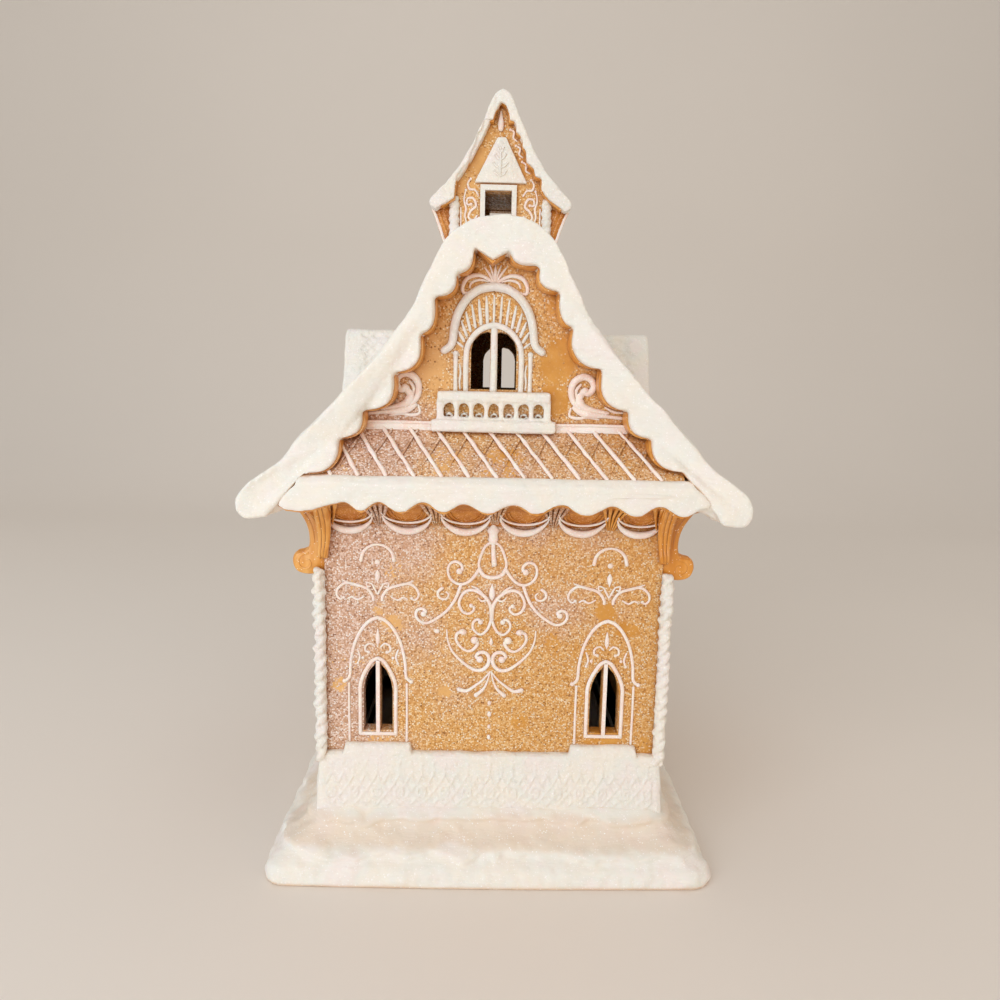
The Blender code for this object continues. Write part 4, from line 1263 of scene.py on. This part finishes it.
# Piping
# Each stroke of icing: its points from the middle line, its widths, and maybe the ball at its end
CENTRE = (-0.8, 0.0)
LOOP = (
    (0.0, 177.4), (3.9, 175.2), (6.0, 170.6), (7.2, 166.2), (6.7, 162.8), (5.0, 160.0), (2.4, 158.7),
    (0.0, 158.4),
)
CENTRE_SCROLLS = (
    ([(7.2, 162.6), (9.3, 159.3), (12.2, 156.2), (16.0, 154.6), (19.9, 155.6), (22.7, 158.8), (23.3, 162.9),
      (21.8, 165.9), (18.9, 166.7), (16.3, 165.0), (15.9, 162.8), (17.4, 161.6)], (1.9, 1.4, 1.9), 1.7),
    ([(16.6, 153.6), (18.6, 148.0), (20.8, 143.9), (24.5, 139.3), (29.6, 135.4), (34.0, 133.2),
      (37.7, 134.0), (39.9, 136.8), (39.5, 139.9), (36.9, 141.0), (34.8, 139.6), (36.0, 138.2)],
     (1.9, 1.5, 1.9), 1.6),
    ([(26.2, 152.3), (28.2, 150.6), (28.4, 148.2), (26.6, 146.5), (24.0, 146.6), (22.8, 148.8),
      (24.0, 150.2)],
     (1.8, 1.3, 0.9)),
    ([(0.0, 135.1), (0.2, 139.5), (0.9, 143.8), (3.5, 147.8), (7.3, 150.6), (11.0, 151.6), (14.5, 150.3),
      (16.8, 146.7), (17.2, 143.3), (15.4, 139.8), (12.3, 138.6), (9.8, 140.2), (9.5, 142.2), (11.0, 143.1)],
     (2.2, 1.7, 1.3), 1.2),
    ([(5.5, 150.0), (8.0, 152.4), (10.8, 153.6)], (1.6, 1.4, 0.6)),
    ([(2.8, 146.4), (5.4, 145.6), (7.4, 147.4)], (1.3, 1.2, 0.6)),
    ([(0.3, 135.0), (2.0, 130.5), (4.8, 127.5), (7.6, 127.9), (9.9, 131.0), (9.4, 134.3), (7.2, 135.6),
      (5.9, 134.2)], (1.7, 1.3, 1.8), 1.4),
    ([(23.6, 129.5), (23.2, 124.4), (21.1, 118.6), (17.4, 114.0), (12.9, 110.1), (8.3, 107.5), (4.0, 107.9),
      (1.3, 111.1), (1.1, 114.8), (3.0, 117.2), (6.1, 117.3), (7.9, 115.1), (5.9, 113.6)],
     (0.8, 2.2, 1.9), 1.9),
    ([(15.6, 128.8), (18.1, 127.6), (18.6, 124.2), (16.2, 120.3), (12.6, 118.0), (9.3, 119.1), (7.2, 122.4),
      (8.9, 124.2)], (2.0, 1.3, 2.4), 2.1),
    ([(14.6, 128.6), (15.6, 128.8)], (3.2, 3.6, 3.2)),
    ([(0.3, 106.6), (4.1, 101.9), (8.3, 98.5), (12.7, 95.7), (16.7, 96.5)], (0.9, 1.5, 2.4), 1.3),
    ([(0.4, 106.4), (1.5, 101.5), (3.6, 97.0), (7.5, 93.4)], (0.8, 1.2, 2.3), 1.3),
)
SIDE_SCROLLS = (
    ([(2.3, 145.3), (2.7, 147.6), (5.6, 151.4), (11.0, 153.3), (16.5, 154.3), (20.5, 151.5), (21.5, 148.0),
      (19.6, 145.5), (17.8, 146.5)], (1.6, 1.5, 1.0), 0.9),
    ([(13.0, 153.6), (18.6, 155.8)], (1.4, 1.1, 0.7)),
    ([(7.2, 147.0), (10.5, 145.4), (13.5, 146.8), (15.6, 145.8)], (0.8, 1.2, 0.8)),
    ([(0.2, 148.6), (1.6, 151.4), (3.0, 154.0)], (0.9, 1.1, 0.8)),
    ([(3.0, 154.0), (5.6, 154.6), (5.4, 152.4), (3.8, 152.6)], (0.8, 1.0, 0.8)),
)
LANCET_STROKES = (
    ([(0.0, 135.8), (4.4, 133.8), (8.6, 129.0), (12.2, 121.4), (14.4, 111.5), (14.9, 103.6), (16.4, 101.2),
      (17.8, 100.4)], (2.0, 1.6, 1.7), 1.2),
    ([(15.4, 99.0), (15.5, 84.0), (15.4, 66.5)], (1.3, 1.2, 1.3)),
    ([(1.6, 119.6), (3.6, 121.4), (6.2, 120.2), (6.6, 117.4), (4.8, 116.6)], (0.8, 1.2, 1.1), 0.9),
    ([(10.8, 118.0), (9.6, 114.0), (10.6, 110.4)], (0.9, 1.2, 0.8), 0.8),
)
LANCET_FRAME = ((0.0, 113.4), (2.9, 111.8), (5.4, 108.2), (7.8, 103.6), (9.4, 98.0), (9.5, 90.0), (9.5, 70.6))
LANCET_ARCH = (
    (-8.6, 166.6), (-7.5, 170.9), (-4.3, 174.0), (0.0, 175.1), (4.3, 174.0), (7.5, 170.9), (8.6, 166.6),
)


def drop_shape(cx, low, high, widest, lean=0.7):
    """An upright leaf or drop of icing, widest below its middle, or above it where lean is over 1."""
    shares = [s / 6 for s in range(7)]
    points = [(cx, -WALL - 0.2, low + (high - low) * t) for t in shares]
    return bead(points, [0.5 + (widest - 0.5) * sin(pi * t ** lean) for t in shares], OUT, 0.7)


def centre_piping():
    """The large scrolls in the middle of a wall."""
    ring = list(LOOP) + [(-x, z) for x, z in reversed(LOOP[1:-1])]
    cx = CENTRE[0]
    line = smooth_line([(cx + x, z) for x, z in ring], 3, closed=True)
    line += line[:2]
    made = [bead([(x, -WALL - 0.2, z) for x, z in line], [1.5 + 0.7 * (z < 163) for _, z in line])]
    made += both_sides(*CENTRE_SCROLLS, at=CENTRE)
    finial = ((186.2, 2.6), (184.6, 5.6), (183.4, 6.6), (181.8, 4.6), (180.2, 4.8), (178.6, 5.6),
              (177.2, 3.6))
    made.append(bead([(cx, -WALL - 0.4, z) for z, _ in finial], [wide for _, wide in finial], OUT, 0.5))
    made.append(stroke([(0.1, 176.5), (0.3, 171.0), (0.8, 165.8)], (2.2, 2.4, 3.0), 1.4, at=CENTRE))
    made.append(drop_shape(cx, 146.0, 155.0, 3.4))
    made.append(drop_shape(cx, 121.4, 125.4, 2.0))
    for z, size in ((88.9, 1.1), (82.6, 1.3), (75.4, 1.0), (69.4, 1.1)):
        made.append(blob((cx - 0.3, -WALL - 0.2, z), size, (0.9, 0.6, 1.3)))
    made.append(blob((-29.6, -WALL - 0.2, 128.8), 1.4, (1.1, 0.6, 0.9)))
    return made


def side_piping():
    """The arch, bud and leaves above each lancet, and the lancet's own lines."""
    made = []
    for cx in (-LANCET_AT, LANCET_AT):
        at = (cx, 0.0)
        made.append(stroke(LANCET_ARCH, (2.0, 1.2, 2.0), 1.0, at=at))
        made.append(blob((cx, -WALL - 0.1, 165.8), 1.5, (1.0, 0.5, 1.0)))
        made.append(drop_shape(cx, 154.6, 161.4, 2.9, lean=1.4))
        made += both_sides(*SIDE_SCROLLS, *LANCET_STROKES, at=at)
        made += both_sides((LANCET_FRAME, (2.0, 2.0, 2.0)), at=at, lift=0.2)
        for side in (1, -1):
            made.append(blob((cx + side * 8.0, -WALL - 0.1, 113.4), 0.9, (1.0, 0.6, 1.0)))
        made.append(drop_shape(cx, 120.6, 129.4, 2.3))
        made.append(stroke([(-9.5, 70.6), (0.0, 70.6), (9.5, 70.6)], (2.0, 2.0, 2.0), at=at))
        made.append(block((cx - 1.0, -WALL - 0.9, 71.0), (cx + 1.0, -WALL + 2.4, 112.0)))
    return made


def gable_window():
    """The gable window's frame, mullion, hood and rays."""
    at = (GABLE_SHIFT - 0.3, 0.0)
    middle_line = (GABLE_SHIFT, 0.0)
    hood = [(0.0, 306.2), (7.0, 304.8), (13.2, 300.4), (17.6, 293.4), (19.6, 286.0), (20.2, 280.4),
            (21.6, 277.0), (24.6, 274.8)]
    made = both_sides((hood, (4.2, 4.2, 3.6)), at=at, lift=0.3)
    inner = [(x * 0.95 - 0.1, z - 0.9) for x, z in hood[:6]]
    made += both_sides((inner, (1.2, 1.2, 1.0)), at=at, lift=1.9)
    arch = mirrored([(0.0, 287.6), (6.8, 285.4), (11.8, 280.0), (13.8, 273.0), (13.8, 254.0)])
    made.append(stroke(arch, (2.6, 3.0, 2.6), at=middle_line, lift=0.25))
    made.append(stroke([(0.0, 287.0), (0.1, 270.0), (0.0, 254.6)], (3.2, 3.4, 3.6), at=middle_line, lift=0.1))
    made.append(block((GABLE_SHIFT - 1.5, -WALL + 0.2, 255.0), (GABLE_SHIFT + 1.5, -WALL + 3.6, 286.0)))
    for k in range(15):
        angle = pi * (0.03 + 0.94 * k / 14)
        near = (15.4 * cos(angle), 275.6 + 13.6 * sin(angle))
        far = (18.6 * cos(angle), 277.0 + 25.0 * sin(angle))
        middle = ((near[0] + far[0]) / 2, (near[1] + far[1]) / 2)
        size = random.uniform(1.1, 1.6)
        made.append(stroke([near, middle, far], (size, size * 1.1, 0.8), at=at, steps=2))
    made += both_sides(
        ([(18.7, 254.5), (18.8, 264.0), (18.7, 273.5)], (2.2, 1.9, 2.4), 1.5),
        ([(16.4, 256.0), (16.7, 260.0), (16.2, 264.0), (16.7, 268.0)], (0.8, 1.2, 0.8)), at=at)
    return made


GABLE_SCROLLS = (
    ([(44.4, 255.8), (47.6, 255.2), (49.8, 258.4), (48.2, 261.9), (44.4, 263.2), (40.2, 261.0), (38.4, 256.6),
      (39.8, 250.6), (45.6, 246.4), (54.6, 244.0), (65.6, 242.8)], (3.2, 3.6, 1.6)),
    ([(45.0, 257.0), (44.2, 255.0), (42.6, 252.0), (44.6, 248.4), (50.4, 246.4), (57.6, 245.4)],
     (2.0, 4.6, 1.4)),
    ([(40.0, 247.6), (44.0, 245.4), (50.0, 244.4), (58.0, 243.6)], (2.0, 4.4, 1.6)),
    ([(43.2, 259.4), (41.0, 256.4), (41.2, 252.6)], (1.2, 1.8, 1.2)),
    ([(38.6, 247.4), (38.0, 243.6), (42.0, 242.4), (47.0, 243.0), (53.0, 242.0)], (1.0, 1.8, 0.9)),
    ([(56.0, 248.2), (60.6, 246.0), (66.0, 245.6)], (0.9, 1.5, 0.8)),
)
GABLE_LEAVES = (
    ([(1.0, 307.6), (3.4, 309.8), (8.2, 311.6), (13.4, 310.4), (15.9, 306.6), (15.6, 303.2), (12.8, 303.0)],
     (1.2, 2.3, 1.3), 1.1),
    ([(0.8, 308.0), (2.6, 311.8), (5.4, 315.4)], (0.8, 1.3, 0.8)),
    ([(3.2, 308.6), (7.4, 309.4), (11.4, 308.2), (12.6, 305.8)], (0.8, 1.3, 0.9)),
    ([(0.4, 308.6), (1.4, 312.6), (2.8, 316.4)], (0.7, 1.0, 0.7)),
)


def gable_piping():
    """Everything else piped on a main gable: scrolls, leaves and the string course."""
    made = both_sides(*GABLE_SCROLLS, at=(-1.4, 0.0), lift=0.2)
    for side in (1, -1):
        made.append(blob((side * 45.4 - 1.4, -WALL - 0.8, 256.2), 1.9, (1.0, 0.7, 1.0)))
    made += both_sides(*GABLE_LEAVES, at=(GABLE_SHIFT, 0.0))
    made.append(drop_shape(GABLE_SHIFT, 308.0, 317.0, 1.6))
    for start, end in ((-70.0, -29.0), (29.0, 70.0)):
        made.append(rounded(block((start, -WALL - 2.4, 234.4), (end, -WALL + 2.0, 239.4)), 1.0))
    for z, size in ((238.8, 1.5), (235.4, 1.3)):
        line = [(30.0, z), (50.0, z + 0.2), (70.0, z)]
        made += both_sides((line, (size, size, size)), lift=1.7)
    return made


def balcony():
    """Slab, rail and a comb of small arches under the gable window."""
    made = []
    bars = ((31.4, 234.8, 240.6, 7.4), (28.4, 249.8, 254.8, 6.4), (28.0, 239.0, 242.0, 5.4))
    for half, low, high, deep in bars:
        made.append(rounded(block((-half, -WALL - deep, low), (half, -WALL + 1.0, high)), 1.2, 3))
    pitch = 7.5
    for k in range(8):
        cx = (k - 3.5) * pitch
        made.append(stroke([(cx, 240.6), (cx, 245.0), (cx, 250.4)], (2.9, 2.5, 3.0), lift=1.6))
    for k in range(7):
        at = ((k - 3) * pitch, 0.0)
        arch = [(-3.6, 246.0), (-2.4, 248.8), (0.0, 250.0), (2.4, 248.8), (3.6, 246.0)]
        made.append(stroke(arch, (1.6, 2.2, 1.6), at=at, lift=2.2, steps=3))
        foot = [(-1.6, 243.0), (0.4, 243.8), (1.8, 242.8)]
        made.append(stroke(foot, (1.2, 1.8, 1.2), at=at, lift=1.2, steps=2))
    for side in (-1, 1):
        made.append(block((side * 27.4 - 1.2, -WALL - 5.4, 239.5), (side * 27.4 + 1.2, -WALL + 1.0, 251.0)))
    whole = fused(made, 0.55, 2, 0.5)
    bmesh.ops.translate(whole, verts=whole.verts, vec=(-1.9, 0.0, 0.0))
    return [ruffle(whole, (4.0, 0.4), (1.6, 0.2))]


def lattice():
    """Slanting bars on the skirt roof: bold ones of icing one way, low glittered ribs the other."""
    bold = []
    ribs = []
    top = Vector((0.0, -89.9, 236.2))
    foot = Vector((0.0, -112.4, 214.4))
    out = Vector((0.0, -0.68, 0.73))
    pitch = 13.3

    def bar(x_top, x_foot, size, lift, group):
        line = []
        for s in range(11):
            t = s / 10
            spot = top.lerp(foot, t) + out * lift
            spot.x = x_top + (x_foot - x_top) * t + random.uniform(-0.25, 0.25)
            if abs(spot.x) < 74.0 + 15.0 * t:
                line.append(spot)
        if len(line) > 2:
            group.append(bead(line, [size * random.uniform(0.75, 1.2) for _ in line], out, 0.75, 8))

    for k in range(-7, 7):
        bar(-4.6 + pitch * k, 13.2 + pitch * k, 2.1, 0.35, bold)
    for k in range(-8, 9):
        bar(0.6 + pitch * k, -12.8 + pitch * k, 1.5, 0.0, ribs)
    return bold, ribs


def bold_lattice():
    """The slanting bars of icing on the skirt roof."""
    return lattice()[0]


def low_lattice():
    """The glittered ribs that cross them."""
    return lattice()[1]


def make_piping(bread, icing, snow):
    """All the thin icing, in a few pieces."""
    piece("wall_scrolls", round_the_house(centre_piping), icing)
    piece("lancet_piping", round_the_house(side_piping), icing, 50)
    piece("gable_windows", round_the_house(gable_window, (0, 2)), snow, 50)
    piece("gable_piping", round_the_house(gable_piping, (0, 2)), icing, 50)
    piece("balcony", round_the_house(balcony, (0, 2)), snow)
    piece("lattice_icing", round_the_house(bold_lattice, (0, 2)), icing)
    piece("lattice_ribs", round_the_house(low_lattice, (0, 2)), bread)


# Stage
def make_stage():
    """A pale floor that curves up into a backdrop."""
    half, behind, bend, tall = 3.0, 0.9, 0.6, 3.5
    angles = [pi / 2 * s / 12 for s in range(1, 13)]
    profile = [(-half, 0.0), (behind, 0.0)]
    profile += [(behind + bend * sin(angle), bend - bend * cos(angle)) for angle in angles]
    profile.append((behind + bend, tall))
    bm = bmesh.new()
    verts = [bm.verts.new((-half, y, z)) for y, z in profile]
    edges = [bm.edges.new(pair) for pair in zip(verts, verts[1:])]
    grown = bmesh.ops.extrude_edge_only(bm, edges=edges)["geom"]
    bmesh.ops.translate(bm, verts=verts_of(grown), vec=(2 * half, 0.0, 0.0))
    bmesh.ops.recalc_face_normals(bm, faces=bm.faces)
    mesh = bpy.data.meshes.new("stage")
    bm.to_mesh(mesh)
    bm.free()
    mesh.shade_smooth()
    mesh.materials.append(plain_stage())
    item = bpy.data.objects.new("stage", mesh)
    bpy.context.scene.collection.objects.link(item)


def soft_light(name, place, aim, size, power, colour):
    """A large soft square lamp that points at a place."""
    lamp = bpy.data.lights.new(name, "AREA")
    lamp.shape = "SQUARE"
    lamp.size = size
    lamp.energy = power
    lamp.color = colour
    item = bpy.data.objects.new(name, lamp)
    item.location = place
    item.rotation_euler = (Vector(aim) - Vector(place)).to_track_quat("-Z", "Y").to_euler()
    bpy.context.scene.collection.objects.link(item)


def make_light_and_camera():
    """Soft daylight from the left front, a warm fill from the right, and the photograph's view."""
    scene = bpy.context.scene
    world = bpy.data.worlds.new("room")
    scene.world = world
    world.use_nodes = True
    sky = world.node_tree.nodes["Background"]
    sky.inputs["Color"].default_value = (1.0, 0.95, 0.895, 1.0)
    sky.inputs["Strength"].default_value = 0.48
    soft_light("left_light", (-0.65, -1.15, 0.5), (0.0, 0.0, 0.18), 1.2, 10.6, (0.91, 0.955, 1.0))
    soft_light("warm_fill", (1.05, -0.9, 0.3), (0.0, 0.0, 0.2), 1.0, 3.2, (1.0, 0.70, 0.42))
    soft_light("top_light", (0.0, -0.1, 2.2), (0.0, 0.0, 0.0), 2.4, 8.0, (1.0, 0.95, 0.90))
    lens = bpy.data.cameras.new("view")
    lens.lens = CAMERA_LENS
    lens.sensor_width = 36.0
    lens.clip_start = 0.01
    eye = bpy.data.objects.new("view", lens)
    pan = Matrix.Rotation(radians(CAMERA_PAN), 4, "Z")
    tilt = Matrix.Rotation(radians(90 - CAMERA_DOWN), 4, "X")
    roll = Matrix.Rotation(radians(CAMERA_ROLL), 4, "Z")
    eye.matrix_world = Matrix.Translation(CAMERA_PLACE) @ pan @ tilt @ roll
    scene.collection.objects.link(eye)
    scene.camera = eye
    scene.view_settings.view_transform = "Standard"
    scene.view_settings.look = "None"
    scene.view_settings.exposure = 0.0


def main():
    """Make the finishes, the house, the stage and the light."""
    bread = glittered_gingerbread()
    amber = caramel()
    dark = dark_caramel()
    snow = snow_icing("snow_icing")
    fine_snow = snow_icing("trim_icing", 0.5)
    icing = piped_icing()
    make_light_and_camera()
    make_stage()
    make_walls(bread)
    make_cove(bread, amber, dark)
    make_swags(icing)
    make_roof_snow(snow, amber)
    make_side_gables(bread, fine_snow, icing)
    make_tower(bread, amber, dark, fine_snow, icing)
    make_brackets(amber)
    make_ropes(fine_snow)
    # The mound's icing carries the band of painted shade at a strength of 0.4.
    make_mound(snow_icing("mound_icing", 1.8, 0.4))
    make_plinth(fine_snow)
    make_piping(bread, icing, fine_snow)


main()
